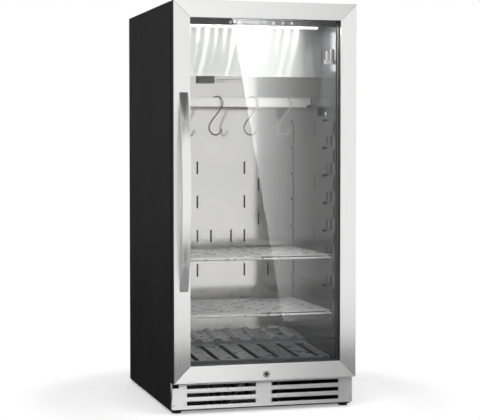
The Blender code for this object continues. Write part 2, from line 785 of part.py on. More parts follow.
def build_liner(liner):
    """The dark moulded liner: two sides with shelf rails, a ceiling and a floor."""
    rear = CHAMBER_REAR - GAP
    flange_end = HALF - FRONT_FLANGE - LINER_FLANGE_PLAY
    flange_top = TOP - TOP_FLANGE - LINER_FLANGE_PLAY
    low, high = CAVITY_FLOOR - LINER, CAVITY_TOP + LINER
    bite = LINER / 2
    for side, name in ((-1, "liner_left"), (1, "liner_right")):
        wall = mirrored((CAVITY_HALF, BODY_FRONT, low), (CAVITY_HALF + LINER, rear, high), side)
        flange = mirrored(
            (CAVITY_HALF + bite, BODY_FRONT, FOAM_BOTTOM),
            (flange_end, BODY_FRONT + LINER, flange_top), side,
        )
        made = join(boxes(name, liner, wall, flange), box_mesh(rail_boxes(side)))
        cut(made, box_mesh(slab_pockets(side)))
    across = CAVITY_HALF - GAP
    boxes(
        "liner_ceiling", liner,
        ((-across, BODY_FRONT, CAVITY_TOP), (across, rear, high)),
        ((-across, BODY_FRONT, CAVITY_TOP + bite), (across, BODY_FRONT + LINER, flange_top)),
    )
    boxes(
        "liner_floor", liner,
        ((-across, BODY_FRONT, low), (across, STEP_FRONT - GAP, CAVITY_FLOOR)),
        ((-across, BODY_FRONT, FOAM_BOTTOM), (across, BODY_FRONT + LINER, CAVITY_FLOOR - bite)),
    )


def build_wall_bracket(white):
    """The small two-armed bracket high on the right wall, just behind the light."""
    face = CAVITY_HALF - GAP
    near = behind(WALL_BRACKET_SETBACK)
    far = near + WALL_BRACKET_DEPTH
    low = CAVITY_TOP - WALL_BRACKET_DROP
    high = low + WALL_BRACKET_BASE_HEIGHT
    short = face - WALL_BRACKET_REACH + WALL_BRACKET_ARM
    long = face - WALL_BRACKET_ARM
    arm_near, arm_far, arm_low = near + SKIN, far - SKIN, high - SKIN
    boxes(
        "wall_bracket", white,
        ((face - WALL_BRACKET_REACH, near, low), (face, far, high)),
        ((short, arm_near, arm_low), (short + WALL_BRACKET_ARM, arm_far, high + WALL_BRACKET_SHORT_ARM)),
        ((long, arm_near, arm_low), (face - SKIN / 2, arm_far, high + WALL_BRACKET_LONG_ARM)),
    )


def build_air_panel(steel):
    """The stainless rear panel with its staggered upright air slots."""
    across = CAVITY_HALF - GAP
    near, middle, far, last = SLOT_COLUMNS
    rows = {near: (1,), middle: (0, 1, 2, 3), far: (0.5, 1.5, 2.5), last: (0,)}
    inlet = DUCT_BOTTOM + DUCT_INLET_RISE
    holes = [rectangle((-DUCT_INLET_WIDTH / 2, inlet), (DUCT_INLET_WIDTH / 2, inlet + DUCT_INLET_HEIGHT))]
    for column, steps in rows.items():
        for side in (-1, 1):
            for step in steps:
                x, z = SLOT_CENTRE + side * column, SLOT_FIRST_ROW + step * SLOT_ROW_PITCH
                corner = (x - SLOT_WIDTH / 2, z - SLOT_HEIGHT / 2)
                holes.append(rectangle(corner, (corner[0] + SLOT_WIDTH, corner[1] + SLOT_HEIGHT)))
    outline = rectangle((-across, CAVITY_FLOOR + GAP), (across, CAVITY_TOP - GAP))
    sheet("air_panel", [outline, *holes], AIR_PANEL_Y, AIR_PANEL_Y + AIR_PANEL_SHEET, "XZ", steel)


def fan_grille_slots():
    """Chord-long slots that fill a circle in the duct cover's floor."""
    slots = []
    count = int(FAN_GRILLE_RADIUS / FAN_GRILLE_PITCH)
    for i in range(-count, count + 1):
        x = i * FAN_GRILLE_PITCH
        half = math.sqrt(max(FAN_GRILLE_RADIUS ** 2 - x ** 2, FAN_GRILLE_SLOT ** 2))
        corner = (FAN_GRILLE_SIDE + x - FAN_GRILLE_SLOT / 2, FAN_GRILLE_Y - half)
        slots.append(rectangle(corner, (corner[0] + FAN_GRILLE_SLOT, corner[1] + 2 * half)))
    return slots


def build_duct(steel, plastic, metal):
    """The duct cover with its fan, and the evaporator in the air chamber behind the panel."""
    across = CAVITY_HALF - GAP
    front, rear = DUCT_FRONT, AIR_PANEL_Y - GAP
    plan = rectangle((-across, front), (across, rear))
    cover = solid_sheet(
        "duct_cover", [plan, *fan_grille_slots()], DUCT_BOTTOM, DUCT_BOTTOM + DUCT_SHEET, "XY", steel
    )
    join(cover, box_mesh([(
        (-across, front, DUCT_BOTTOM + DUCT_SHEET / 2), (across, front + DUCT_SHEET, CAVITY_TOP - GAP),
    )]))
    join(cover, box_mesh([(
        (-across, front - DUCT_LIP, DUCT_BOTTOM), (across, front + DUCT_SHEET / 2, DUCT_BOTTOM + DUCT_SHEET),
    )]))
    centre = Vector((FAN_GRILLE_SIDE, FAN_GRILLE_Y, DUCT_BOTTOM + DUCT_SHEET + GAP))
    build_fan_frame(centre, plastic)
    rotor_at = centre + Vector((0, 0, FAN_MOTOR_DEPTH + FAN_STRUT_DEPTH))
    rotor = fan_rotor("evaporator_fan", rotor_at, "Z", FAN_RADIUS, FAN_HUB_DEPTH, plastic)
    pivot("evaporator_fan_axis", rotor_at, rotor)
    build_coil(
        "evaporator", metal, (-EVAPORATOR_WIDTH / 2, CHAMBER_REAR - GAP - EVAPORATOR_DEPTH),
        DUCT_BOTTOM - EVAPORATOR_DROP - EVAPORATOR_HEIGHT,
        (EVAPORATOR_WIDTH, EVAPORATOR_DEPTH, EVAPORATOR_HEIGHT), COIL_ROWS,
    )
    build_lamp(plastic)


def circle(centre, radius):
    """A round outline of points in a plane."""
    turns = (2 * math.pi * i / HINGE_STEPS for i in range(HINGE_STEPS))
    return [(centre[0] + radius * math.cos(turn), centre[1] + radius * math.sin(turn)) for turn in turns]


def build_fan_frame(centre, plastic):
    """A square frame with a round bore, and the strut and motor that carry the rotor."""
    half = FAN_FRAME_SIDE / 2
    plan = rectangle((centre.x - half, centre.y - half), (centre.x + half, centre.y + half))
    bore = circle(centre.xy, FAN_BORE_RADIUS)
    frame = solid_sheet(
        "fan_frame", [plan, bore], centre.z, centre.z + FAN_FRAME_DEPTH, "XY", plastic
    )
    strut = FAN_STRUT / 2
    join(frame, box_mesh([(
        (centre.x - half + strut, centre.y - strut, centre.z + GAP),
        (centre.x + half - strut, centre.y + strut, centre.z + FAN_STRUT_DEPTH),
    )]))
    low = centre + Vector((0, 0, 2 * GAP))
    high = centre + Vector((0, 0, FAN_MOTOR_DEPTH + FAN_STRUT_DEPTH - GAP))
    join(frame, rod_mesh([(low, high, FAN_HUB_RADIUS)], HINGE_STEPS))


def fan_rotor(name, low, axis, radius, hub_depth, plastic):
    """A hub with pitched blades, built along Z and turned onto its axis."""
    rotor = place(name, rod_mesh([((0, 0, 0), (0, 0, hub_depth), FAN_HUB_RADIUS)], HINGE_STEPS), plastic)
    rotor.location = low
    rotor.rotation_euler = AXIS_TURNS[axis]
    blades = bmesh.new()
    start = FAN_HUB_RADIUS - FAN_BLADE_SHEET
    for i in range(FAN_BLADES):
        size = Matrix.Diagonal((radius - start, FAN_BLADE_CHORD, FAN_BLADE_SHEET, 1))
        tilt = Matrix.Rotation(math.radians(FAN_BLADE_PITCH_DEG), 4, "X")
        out = Matrix.Translation(((start + radius) / 2, 0, hub_depth / 2))
        spin = Matrix.Rotation(2 * math.pi * i / FAN_BLADES, 4, "Z")
        bmesh.ops.create_cube(blades, size=1, matrix=spin @ out @ tilt @ size)
    return join(rotor, mesh_of(blades))


def build_coil(name, metal, corner, low, size, rows):
    """Upright fins on straight coil runs: a finned heat exchanger."""
    width, depth, height = size
    x_low, y_low = corner
    count = int((width - 2 * COIL_RADIUS) / FIN_PITCH)
    margin = (width - count * FIN_PITCH) / 2
    fins = [
        ((x_low + margin + i * FIN_PITCH - FIN_SHEET / 2, y_low, low),
         (x_low + margin + i * FIN_PITCH + FIN_SHEET / 2, y_low + depth, low + height))
        for i in range(count + 1)
    ]
    runs = []
    for i in range(rows):
        z = low + height * (i + 0.5) / rows
        y = y_low + depth / 2
        runs.append(((x_low, y, z), (x_low + width, y, z), COIL_RADIUS))
    return join(place(name, box_mesh(fins), metal), rod_mesh(runs, SHELF_WIRE_SIDES))


def build_lamp(plastic):
    """The lamp under the duct, in a hood that is open below."""
    low = Vector((LAMP_LEFT, DUCT_FRONT + LAMP_FRONT_INSET, DUCT_BOTTOM - GAP - LAMP_HEIGHT))
    high = low + Vector((LAMP_WIDTH, LAMP_DEPTH, LAMP_HEIGHT))
    hood = boxes("uv_lamp", plastic, (low, high))
    wall = Vector((LAMP_SHELL, LAMP_SHELL, 0))
    top = Vector((LAMP_SHELL, LAMP_SHELL, LAMP_SHELL))
    cut(hood, box_mesh([(low + wall - Vector((0, 0, OVERRUN)), high - top)]))
    middle = (low.x + high.x) / 2
    z = low.z + LAMP_TUBE_RAISE
    start = (middle, low.y + LAMP_SHELL / 2, z)
    end = (middle, high.y - LAMP_SHELL / 2, z)
    join(hood, rod_mesh([(start, end, LAMP_TUBE_RADIUS)], SHELF_FRAME_SIDES))


def build_controls(plastic, light, lens):
    """The control panel and the light bar, hung under the cavity's ceiling."""
    across = CAVITY_HALF - CONTROL_END
    front, high = behind(CONTROL_SETBACK), CAVITY_TOP - GAP
    low = high - CONTROL_HEIGHT
    side = [
        (front, high), (front + CONTROL_SLOPE, low),
        (front + CONTROL_DEPTH, low), (front + CONTROL_DEPTH, high),
    ]
    panel = solid_sheet("control_panel", [side], -across, across, "YZ", plastic)
    half = DISPLAY_WIDTH / 2
    cut(panel, box_mesh([(
        (-half, front - OVERRUN, high - DISPLAY_DROP - DISPLAY_HEIGHT),
        (half, front + CONTROL_SLOPE / 2 + DISPLAY_RECESS, high - DISPLAY_DROP),
    )]))
    bar_front = front + CONTROL_DEPTH + GAP
    bar_low = high - LIGHT_BAR_HEIGHT
    left, right = LIGHT_BAR_LEFT_INSET - CAVITY_HALF, CAVITY_HALF - LIGHT_BAR_RIGHT_INSET
    bar_end = (right, bar_front + LIGHT_BAR_DEPTH, high)
    boxes("light_bar", light, ((left, bar_front, bar_low), bar_end))
    middle = bar_front + LIGHT_BAR_DEPTH / 2
    section = [
        (middle + LENS_RADIUS * math.cos(turn), bar_low - GAP - LENS_RADIUS * math.sin(turn))
        for turn in (math.pi * i / LENS_STEPS for i in range(LENS_STEPS + 1))
    ]
    sheet("light_lens", [section], left, right, "YZ", lens)


def build_bar(steel, plastic):
    """The flat hanging bar and the two wall brackets that cradle its ends."""
    middle = behind(BAR_SETBACK)
    thick = BAR_THICKNESS / 2
    bar = boxes("hanging_bar", steel, (
        (-BAR_HALF, middle - thick, BAR_BOTTOM), (BAR_HALF, middle + thick, BAR_BOTTOM + BAR_HEIGHT),
    ))
    rounding = bar.modifiers.new("Bevel", "BEVEL")
    rounding.width = BAR_ROUND
    rounding.segments = 2
    seat = BRACKET_SEAT
    low = seat - BRACKET_HEIGHT
    near, far = middle - thick - GAP, middle + thick + GAP
    front, rear = behind(BRACKET_FRONT), behind(BRACKET_REAR)
    ear = seat + BRACKET_EAR
    outline = [
        (front, low), (rear, low), (rear, seat), (far + BRACKET_EAR_WIDTH, seat),
        (far + BRACKET_EAR_WIDTH, ear), (far, ear), (far, seat), (near, seat), (near, ear),
        (near - BRACKET_EAR_WIDTH, ear), (near - BRACKET_EAR_WIDTH, seat), (front, seat),
    ]
    root = CAVITY_HALF - GAP
    for side, name in ((-1, "bar_bracket_left"), (1, "bar_bracket_right")):
        ends = sorted((side * (root - BRACKET_REACH), side * root))
        sheet(name, [outline], *ends, "YZ", plastic)


def hook_path():
    """The wire's centre line in its own plane, across and up, from the tail to the tip.

    The top loop and the low loop are half ellipses, and one smooth shank crosses between them.
    """
    top, low = HOOK_TOP_HALF_WIDTH, HOOK_LOW_HALF_WIDTH
    centre_length = HOOK_LENGTH - 2 * HOOK_WIRE_RADIUS
    low_centre = (-HOOK_LOW_OFFSET, -centre_length + HOOK_LOW_HEIGHT)
    points = []
    first = math.pi + math.radians(HOOK_TAIL_DEG)
    for i in range(HOOK_ARC_STEPS + 1):
        turn = first * (1 - i / HOOK_ARC_STEPS)
        points.append((top * math.cos(turn), -HOOK_TOP_HEIGHT + HOOK_TOP_HEIGHT * math.sin(turn)))
    start = Vector(points[-1])
    end = Vector((low_centre[0] - low, low_centre[1]))
    pull = Vector((0, (start.y - end.y) * HOOK_SHANK_PULL_SHARE))
    for i in range(1, HOOK_SHANK_STEPS):
        t = i / HOOK_SHANK_STEPS
        spot = (
            start * (1 - t) ** 3 + (start - pull) * 3 * t * (1 - t) ** 2
            + (end + pull) * 3 * t ** 2 * (1 - t) + end * t ** 3
        )
        points.append(tuple(spot))
    last = math.pi - math.radians(HOOK_TIP_DEG)
    for i in range(HOOK_ARC_STEPS + 1):
        turn = math.pi + last * i / HOOK_ARC_STEPS
        up = low_centre[1] + HOOK_LOW_HEIGHT * math.sin(turn)
        points.append((low_centre[0] + low * math.cos(turn), up))
    return points


def hook_seat():
    """How far the wire's centre rides above the bar's top where the loop comes over its edges."""
    reach = BAR_THICKNESS / 2 / math.sin(math.radians(HOOK_TURN_DEG))
    drop = HOOK_TOP_HEIGHT * (1 - math.sqrt(1 - (reach / HOOK_TOP_HALF_WIDTH) ** 2))
    return drop + HOOK_WIRE_RADIUS + HOOK_SEAT_PLAY


def build_hooks(chrome):
    """Three S hooks, each turned half way across the bar that it hangs on."""
    turn = math.radians(HOOK_TURN_DEG)
    along = Vector((math.cos(turn), -math.sin(turn), 0))
    bar_top = BAR_BOTTOM + BAR_HEIGHT
    for share, name in zip(HOOK_PLACE_SHARES, ("hook_left", "hook_middle", "hook_right")):
        crown = Vector((share * BAR_HALF, behind(BAR_SETBACK), bar_top + hook_seat()))
        curve = bpy.data.curves.new(name, "CURVE")
        curve.dimensions = "3D"
        curve.bevel_depth = HOOK_WIRE_RADIUS
        curve.bevel_resolution = 2
        curve.use_fill_caps = True
        path = hook_path()
        spline = curve.splines.new("POLY")
        spline.points.add(len(path) - 1)
        for point, (across, up) in zip(spline.points, path):
            point.co = (*(along * across + Vector((0, 0, up))), 1)
        curve.materials.append(chrome)
        obj = bpy.data.objects.new(name, curve)
        obj.location = crown
        bpy.data.collections["dry_aging_cabinet"].objects.link(obj)


def build_shelf(name, rail, chrome):
    """A wire shelf: side rods on the ledges, end rods, three stringers and the wires on them."""
    frame = SHELF_FRAME_RADIUS
    half = CAVITY_HALF - PAD_RAISE - SHELF_SIDE_PLAY
    side = half - frame
    front = behind(SHELF_FRONT) + SHELF_FRONT_BAR_RADIUS
    run = AIR_PANEL_Y - SHELF_REAR_PLAY - frame - front
    level = LOWEST_RAIL_TOP + rail * RAIL_PITCH + GAP + frame
    rods = [((x, 0, 0), (x, run, 0), frame) for x in (-side, side)]
    shelf = place(name, rod_mesh(rods, SHELF_FRAME_SIDES), chrome)
    shelf.location = (0, front, level)
    ends = [((-half, 0, 0), (half, 0, 0), SHELF_FRONT_BAR_RADIUS), ((-half, run, 0), (half, run, 0), frame)]
    join(shelf, rod_mesh(ends, SHELF_FRAME_SIDES))
    up, over = SHELF_STRINGER_RISE, SHELF_WIRE_RADIUS
    inset = side - SHELF_STRINGER_INSET
    stringers = [((x, -over, up), (x, run + over, up), SHELF_STRINGER_RADIUS) for x in (-inset, 0, inset)]
    join(shelf, rod_mesh(stringers, SHELF_FRAME_SIDES))
    first = SHELF_WIRE_RADIUS / 2
    wires = []
    for i in range(int((run - first) / SHELF_WIRE_PITCH) + 1):
        y = first + i * SHELF_WIRE_PITCH
        wires.append(((-half, y, SHELF_DECK_RISE), (half, y, SHELF_DECK_RISE), SHELF_WIRE_RADIUS))
    join(shelf, rod_mesh(wires, SHELF_WIRE_SIDES))
    pivot(f"{name}_runner", (0, front, level), shelf)


def ridge_line(level, inset):
    """The rack's corrugated line, left to right: flats with a round ridge at every pitch."""
    end = RACK_HALF - inset
    width = RACK_RIDGE_WIDTH / 2 - inset
    points = [(-end, level)]
    for i in range(RACK_RIDGES):
        centre = (i - (RACK_RIDGES - 1) / 2) * RACK_RIDGE_PITCH
        for step in range(RACK_RIDGE_STEPS + 1):
            turn = math.pi * (1 - step / RACK_RIDGE_STEPS)
            points.append((centre + width * math.cos(turn), level + RACK_RIDGE_HEIGHT * math.sin(turn)))
    points.append((end, level))
    return points


def deck_section(y, level):
    """The rack's deck across the cabinet at one depth: the corrugated sheet and its side walls."""
    floor = CAVITY_FLOOR + GAP
    upper = ridge_line(level, 0)
    lower = ridge_line(level - RACK_SHEET, RACK_SHEET)
    half, inner = upper[-1][0], lower[-1][0]
    outline = [(-half, floor), *upper, (half, floor), (inner, floor), *reversed(lower), (-inner, floor)]
    return [(x, y, z) for x, z in outline]


def build_rack(plastic):
    """The corrugated rack: a ridged deck at the rear and a slotted slope down to the front."""
    edge, rear = behind(RACK_EDGE), AIR_PANEL_Y - RACK_REAR_PLAY
    rack = loft(
        "bottle_rack",
        [deck_section(edge, RACK_TOP), deck_section(rear, RACK_TOP + RACK_REAR_RISE)], plastic,
    )
    floor = CAVITY_FLOOR + GAP
    front = behind(RACK_FRONT)
    low = floor + RACK_FRONT_RISE
    foot, high = edge + RACK_SHEET / 2, RACK_APRON_TOP
    half = RACK_HALF - RACK_SHEET / 2
    slope = [
        (front, floor), (front, low), (foot, high), (foot, high - RACK_SHEET),
        (front + RACK_SHEET, low - RACK_SHEET), (front + RACK_SHEET, floor),
    ]
    join(rack, prism(slope, -half, half, "YZ"))
    riser = [(x, edge, z) for x, y, z in deck_section(edge, RACK_TOP - RACK_SHEET / 2)]
    top = riser[1:len(ridge_line(0, 0)) + 1]
    base = high - RACK_SHEET
    face = [(-half, base), *[(max(min(x, half), -half), z) for x, y, z in top], (half, base)]
    join(rack, prism(face, edge + GAP, edge + RACK_SHEET, "XZ"))
    slots = []
    for i in range(RACK_RIDGES):
        x = (i - (RACK_RIDGES - 1) / 2) * RACK_RIDGE_PITCH
        slots.append((
            (x - RACK_SLOT_WIDTH / 2, front + RACK_SLOT_FRONT, floor - OVERRUN),
            (x + RACK_SLOT_WIDTH / 2, edge - RACK_SLOT_REAR, RACK_TOP + OVERRUN),
        ))
    cut(rack, box_mesh(slots))


def rail_section():
    """A door rail's section: distance in from the outer edge, and depth behind the face."""
    wide, thick = RAIL_WIDTH, RAIL_SHEET
    return [
        (0, 0), (wide, 0), (wide, RAIL_LIP), (wide - thick, RAIL_LIP), (wide - thick, thick),
        (thick, thick), (thick, RAIL_RETURN), (0, RAIL_RETURN),
    ]


def build_rails(steel):
    """Four folded steel rails, mitred where they meet. Returns them as a list."""
    low, high = Vector((-HALF, 0, DOOR_BOTTOM)), Vector((HALF, 0, TOP))
    corners = [low, Vector((HALF, 0, DOOR_BOTTOM)), high, Vector((-HALF, 0, TOP))]
    names = ("door_rail_bottom", "door_rail_right", "door_rail_top", "door_rail_left")
    middle = (low + high) / 2
    made = []
    for i, name in enumerate(names):
        start, end = corners[i], corners[(i + 1) % 4]
        along = (end - start).normalized()
        inward = Vector((-along.z, 0, along.x))
        if inward.dot(middle - start) < 0:
            inward = -inward
        sections = []
        for corner, way in ((start, along), (end, -along)):
            sections.append([
                corner + way * (u + MITRE_JOINT / 2) + inward * u + Vector((0, behind(v), 0))
                for u, v in rail_section()
            ])
        made.append(loft(name, sections, steel))
    return made


def frame_ring(name, inset, section, front, material):
    """A mitred rectangular ring in the door: section pairs are width inward and depth."""
    corners = ((-1, -1), (1, -1), (1, 1), (-1, 1))
    middle_z = (DOOR_BOTTOM + TOP) / 2
    sections = []
    for side_x, side_z in corners:
        half_x, half_z = HALF - inset, DOOR_HEIGHT / 2 - inset
        sections.append([
            (side_x * (half_x - u), front + v, middle_z + side_z * (half_z - u)) for u, v in section
        ])
    return loft(name, sections, material, closed=True)


def door_box(inset, near, far):
    """A box across the door, inset alike from all four of its edges."""
    return (
        (-HALF + inset, near, DOOR_BOTTOM + inset), (HALF - inset, far, TOP - inset),
    )


def build_core(plastic):
    """The black core behind the rails: it holds the glass, the bushes and the lock."""
    near, far = behind(RAIL_SHEET + GAP), behind(DOOR_CORE_DEPTH)
    core = boxes(
        "door_core", plastic, door_box(RAIL_SHEET + GAP, near, far - RAIL_SHEET),
        door_box(0, behind(RAIL_RETURN + GAP), far), door_box(PLINTH_INSET, far - RAIL_SHEET, PLINTH_REAR),
    )
    pocket = RAIL_WIDTH - GLASS_OVERLAP - GLASS_PLAY
    cut(core, box_mesh([door_box(RAIL_WIDTH + GAP, near - OVERRUN, PLINTH_REAR + OVERRUN)]))
    cut(core, box_mesh([door_box(pocket, near - OVERRUN, GLASS_REAR + GAP)]))
    for high in (False, True):
        cut(core, box_mesh([hinge_pocket(high)]))
        cut(core, rod_mesh([bush_bore(high)], HINGE_STEPS))
    bore = LOCK_BARREL_RADIUS + LOCK_PLAY
    start, end = (0, behind(0), LOCK_Z), (0, PLINTH_REAR + OVERRUN, LOCK_Z)
    return cut(core, rod_mesh([(start, end, bore)], HINGE_STEPS))


def from_edge(high, distance):
    """The Z this far inside the door's top or bottom edge."""
    return TOP - distance if high else DOOR_BOTTOM + distance


def hinge_pocket(high):
    """The corner pocket that the hinge leaf swings in as the door opens."""
    ends = sorted((from_edge(high, -OVERRUN), from_edge(high, HINGE_POCKET_FLOOR)))
    return (
        (HINGE_X - HINGE_POCKET_REACH, behind(RAIL_RETURN), ends[0]),
        (HALF + OVERRUN, behind(DOOR_CORE_DEPTH) + OVERRUN, ends[1]),
    )


def bush_bore(high):
    start, end = from_edge(high, 0), from_edge(high, HINGE_POCKET_FLOOR + BUSH_LENGTH + GAP)
    return (HINGE_X, HINGE_Y, start), (HINGE_X, HINGE_Y, end), BUSH_RADIUS + GAP


def build_bush(name, high, polymer):
    """A flanged bush in the door's corner, for the hinge pin."""
    bore = HINGE_PIN_RADIUS + HINGE_PIN_PLAY
    floor = HINGE_POCKET_FLOOR - GAP
    profile = [
        (bore, floor - BUSH_FLANGE), (BUSH_FLANGE_RADIUS, floor - BUSH_FLANGE),
        (BUSH_FLANGE_RADIUS, floor), (BUSH_RADIUS, floor), (BUSH_RADIUS, floor + BUSH_LENGTH),
        (bore, floor + BUSH_LENGTH),
    ]
    turned = [(radius, from_edge(high, drop)) for radius, drop in profile]
    if not high:
        turned.reverse()
    return lathe(name, turned, (HINGE_X, HINGE_Y, 0), "Z", HINGE_STEPS, polymer, ring=True)


def build_hinge(name, high, steel):
    """A hinge bracket: a leg on the cabinet's front, a leaf over the door and its pin."""
    half = HINGE_LEAF_WIDTH / 2
    leg_rear = BODY_FRONT - GAP
    arc = [
        (HINGE_X + half * math.cos(turn), HINGE_Y - half * math.sin(turn))
        for turn in (math.pi * i / SHELF_FRAME_SIDES for i in range(SHELF_FRAME_SIDES + 1))
    ]
    plan = [(HINGE_X - half, leg_rear), (HINGE_X + half, leg_rear), *arc]
    near, far = sorted((
        from_edge(high, HINGE_LEAF_DROP), from_edge(high, HINGE_LEAF_DROP + HINGE_LEAF_SHEET),
    ))
    bracket = solid_sheet(name, [plan], near, far, "XY", steel)
    ends = sorted((
        from_edge(high, HINGE_LEAF_DROP + HINGE_LEAF_SHEET / 2),
        from_edge(high, HINGE_LEAF_DROP + HINGE_LEG_HEIGHT),
    ))
    join(bracket, box_mesh([(
        (HINGE_X - half, leg_rear - HINGE_LEG_SHEET, ends[0]),
        (HINGE_X - half + HINGE_LEG_WIDTH, leg_rear, ends[1]),
    )]))
    pin_start = from_edge(high, HINGE_LEAF_DROP + HINGE_LEAF_SHEET / 2)
    pin_end = from_edge(high, HINGE_LEAF_DROP + HINGE_LEAF_SHEET + HINGE_PIN_LENGTH)
    pin = ((HINGE_X, HINGE_Y, pin_start), (HINGE_X, HINGE_Y, pin_end), HINGE_PIN_RADIUS)
    return join(bracket, rod_mesh([pin], HINGE_STEPS))


def build_glazing(glass, spacer):
    """Two panes with a spacer between them."""
    inset = RAIL_WIDTH - GLASS_OVERLAP
    outer = boxes("glass_outer", glass, door_box(inset, GLASS_Y, GLASS_Y + GLASS_THICKNESS))
    inner = boxes("glass_inner", glass, door_box(inset, INNER_GLASS_Y, GLASS_REAR))
    front = GLASS_Y + GLASS_THICKNESS + GAP
    section = [(0, 0), (SPACER_WIDTH, 0), (SPACER_WIDTH, GLASS_CAVITY), (0, GLASS_CAVITY)]
    ring = frame_ring("glass_spacer", inset + SPACER_EDGE, section, front, spacer)
    return [outer, inner, ring]


def build_gasket(rubber):
    """The door seal: a bellows section between the door and the cabinet's front face."""
    waist, wide, depth = GASKET_WAIST, GASKET_WIDTH, GASKET_DEPTH
    section = [
        (0, 0), (wide, 0), (wide, waist), (wide - waist, depth / 2), (wide, depth - waist),
        (wide, depth), (0, depth), (0, depth - waist), (waist, depth / 2), (0, waist),
    ]
    return frame_ring("door_gasket", GASKET_INSET, section, PLINTH_REAR + GAP, rubber)


def build_handle(steel):
    """The bowed flat handle: two arcs about one centre, cut off square on the door's face."""
    face = behind(-GAP)
    reach = HANDLE_REACH - GAP
    radius = ((HANDLE_LENGTH / 2) ** 2 + reach ** 2) / (2 * reach)
    centre_y = face - reach + radius
    middle_z = (DOOR_BOTTOM + TOP) / 2 + HANDLE_RAISE
    outline = []
    for arc_radius, way in ((radius, 1), (radius - HANDLE_THICKNESS, -1)):
        half = math.acos((centre_y - face) / arc_radius)
        for i in range(HANDLE_STEPS + 1):
            turn = way * half * (2 * i / HANDLE_STEPS - 1)
            y = centre_y - arc_radius * math.cos(turn)
            outline.append((y, middle_z + arc_radius * math.sin(turn)))
    middle = -HALF + HANDLE_INSET
    handle = solid_sheet(
        "door_handle", [outline], middle - HANDLE_WIDTH / 2, middle + HANDLE_WIDTH / 2, "YZ", steel
    )
    rounding = handle.modifiers.new("Bevel", "BEVEL")
    rounding.width = HANDLE_ROUND
    rounding.segments = 2
    rounding.limit_method = "ANGLE"
    return handle


def build_lock(steel, plastic):
    """The lock's ring and its barrel with the cam. Returns both."""
    face = GAP
    bore = LOCK_BARREL_RADIUS + LOCK_PLAY
    profile = [
        (bore, LOCK_RING_DEPTH), (LOCK_RING_RADIUS - LOCK_RING_LIP, LOCK_RING_DEPTH),
        (LOCK_RING_RADIUS, LOCK_RING_DEPTH - LOCK_RING_LIP), (LOCK_RING_RADIUS, face), (bore, face),
    ]
    turned = [(radius, -height) for radius, height in reversed(profile)]
    centre = (0, behind(0), LOCK_Z)
    ring = lathe("lock_ring", turned, centre, "Y", HINGE_STEPS, steel, ring=True)
    cam_near = PLINTH_REAR + CAM_CLEARANCE
    cam_far = cam_near + CAM_THICKNESS
    front = behind(-LOCK_BARREL_PROUD)
    rod = ((0, front, LOCK_Z), (0, cam_near + CAM_THICKNESS / 2, LOCK_Z), LOCK_BARREL_RADIUS)
    barrel = place("lock_barrel", rod_mesh([rod], HINGE_STEPS), plastic)
    half = CAM_WIDTH / 2
    join(barrel, box_mesh([((-half, cam_near, LOCK_Z - half), (CAM_LENGTH, cam_far, LOCK_Z + half))]))
    cut(barrel, box_mesh([(
        (-KEYHOLE_WIDTH / 2, front - OVERRUN, LOCK_Z - KEYHOLE_HEIGHT / 2),
        (KEYHOLE_WIDTH / 2, front + KEYHOLE_DEPTH, LOCK_Z + KEYHOLE_HEIGHT / 2),
    )]))
    return ring, barrel


def build_keeper(steel):
    """The keeper on the cabinet's front: a U, open above, that the cam turns down into."""
    rear = BODY_FRONT - GAP
    front = rear - KEEPER_REACH
    low = GRILLE_TOP + KEEPER_RISE
    high = low + KEEPER_HEIGHT
    side = -KEEPER_WIDTH / 2
    bite = KEEPER_SHEET / 2
    boxes(
        "lock_keeper", steel,
        ((side, rear - KEEPER_SHEET, low), (side + KEEPER_WIDTH, rear, high)),
        ((side, front + bite, low), (side + KEEPER_JAW_WIDTH, rear - bite, low + KEEPER_SHEET)),
        ((side, front, low), (side + KEEPER_JAW_WIDTH, front + KEEPER_SHEET, high)),
    )


def build_door(steel, plastic, glass, spacer, rubber, polymer):
    """Everything that swings with the door, on one pivot."""
    pieces = build_rails(steel)
    for rail in pieces:
        if rail.name == "door_rail_bottom":
            lock = (0, behind(-OVERRUN), LOCK_Z)
            through = (0, behind(OVERRUN), LOCK_Z)
            cut(rail, rod_mesh([(lock, through, LOCK_BARREL_RADIUS + LOCK_PLAY)], HINGE_STEPS))
    pieces.append(build_core(plastic))
    pieces += build_glazing(glass, spacer)
    pieces.append(build_gasket(rubber))
    pieces.append(build_handle(steel))
    pieces.append(build_bush("bush_upper", True, polymer))
    pieces.append(build_bush("bush_lower", False, polymer))
    ring, barrel = build_lock(steel, plastic)
    swing = pivot("door_hinge_axis", (HINGE_X, HINGE_Y, (DOOR_BOTTOM + TOP) / 2), *pieces, ring)
    turn = pivot("lock_axis", (0, behind(0), LOCK_Z), barrel)
    turn.parent = swing
    turn.matrix_parent_inverse = swing.matrix_world.inverted()


def rolled_bar(low, high):
    """The section of a grille bar: a strip rolled to a shallow arch towards the front."""
    radius = GRILLE_BAR_ROLL_RADIUS
    middle = (low + high) / 2
    face = behind(GRILLE_SETBACK - GRILLE_BAR_PROUD)
    half = math.asin((high - low) / 2 / radius)
    outline = []
    for arc_radius, way in ((radius, 1), (radius - GRILLE_BAR_SHEET, -1)):
        for i in range(GRILLE_BAR_STEPS + 1):
            turn = way * half * (2 * i / GRILLE_BAR_STEPS - 1)
            y = face + radius - arc_radius * math.cos(turn)
            outline.append((y, middle + arc_radius * math.sin(turn)))
    return outline


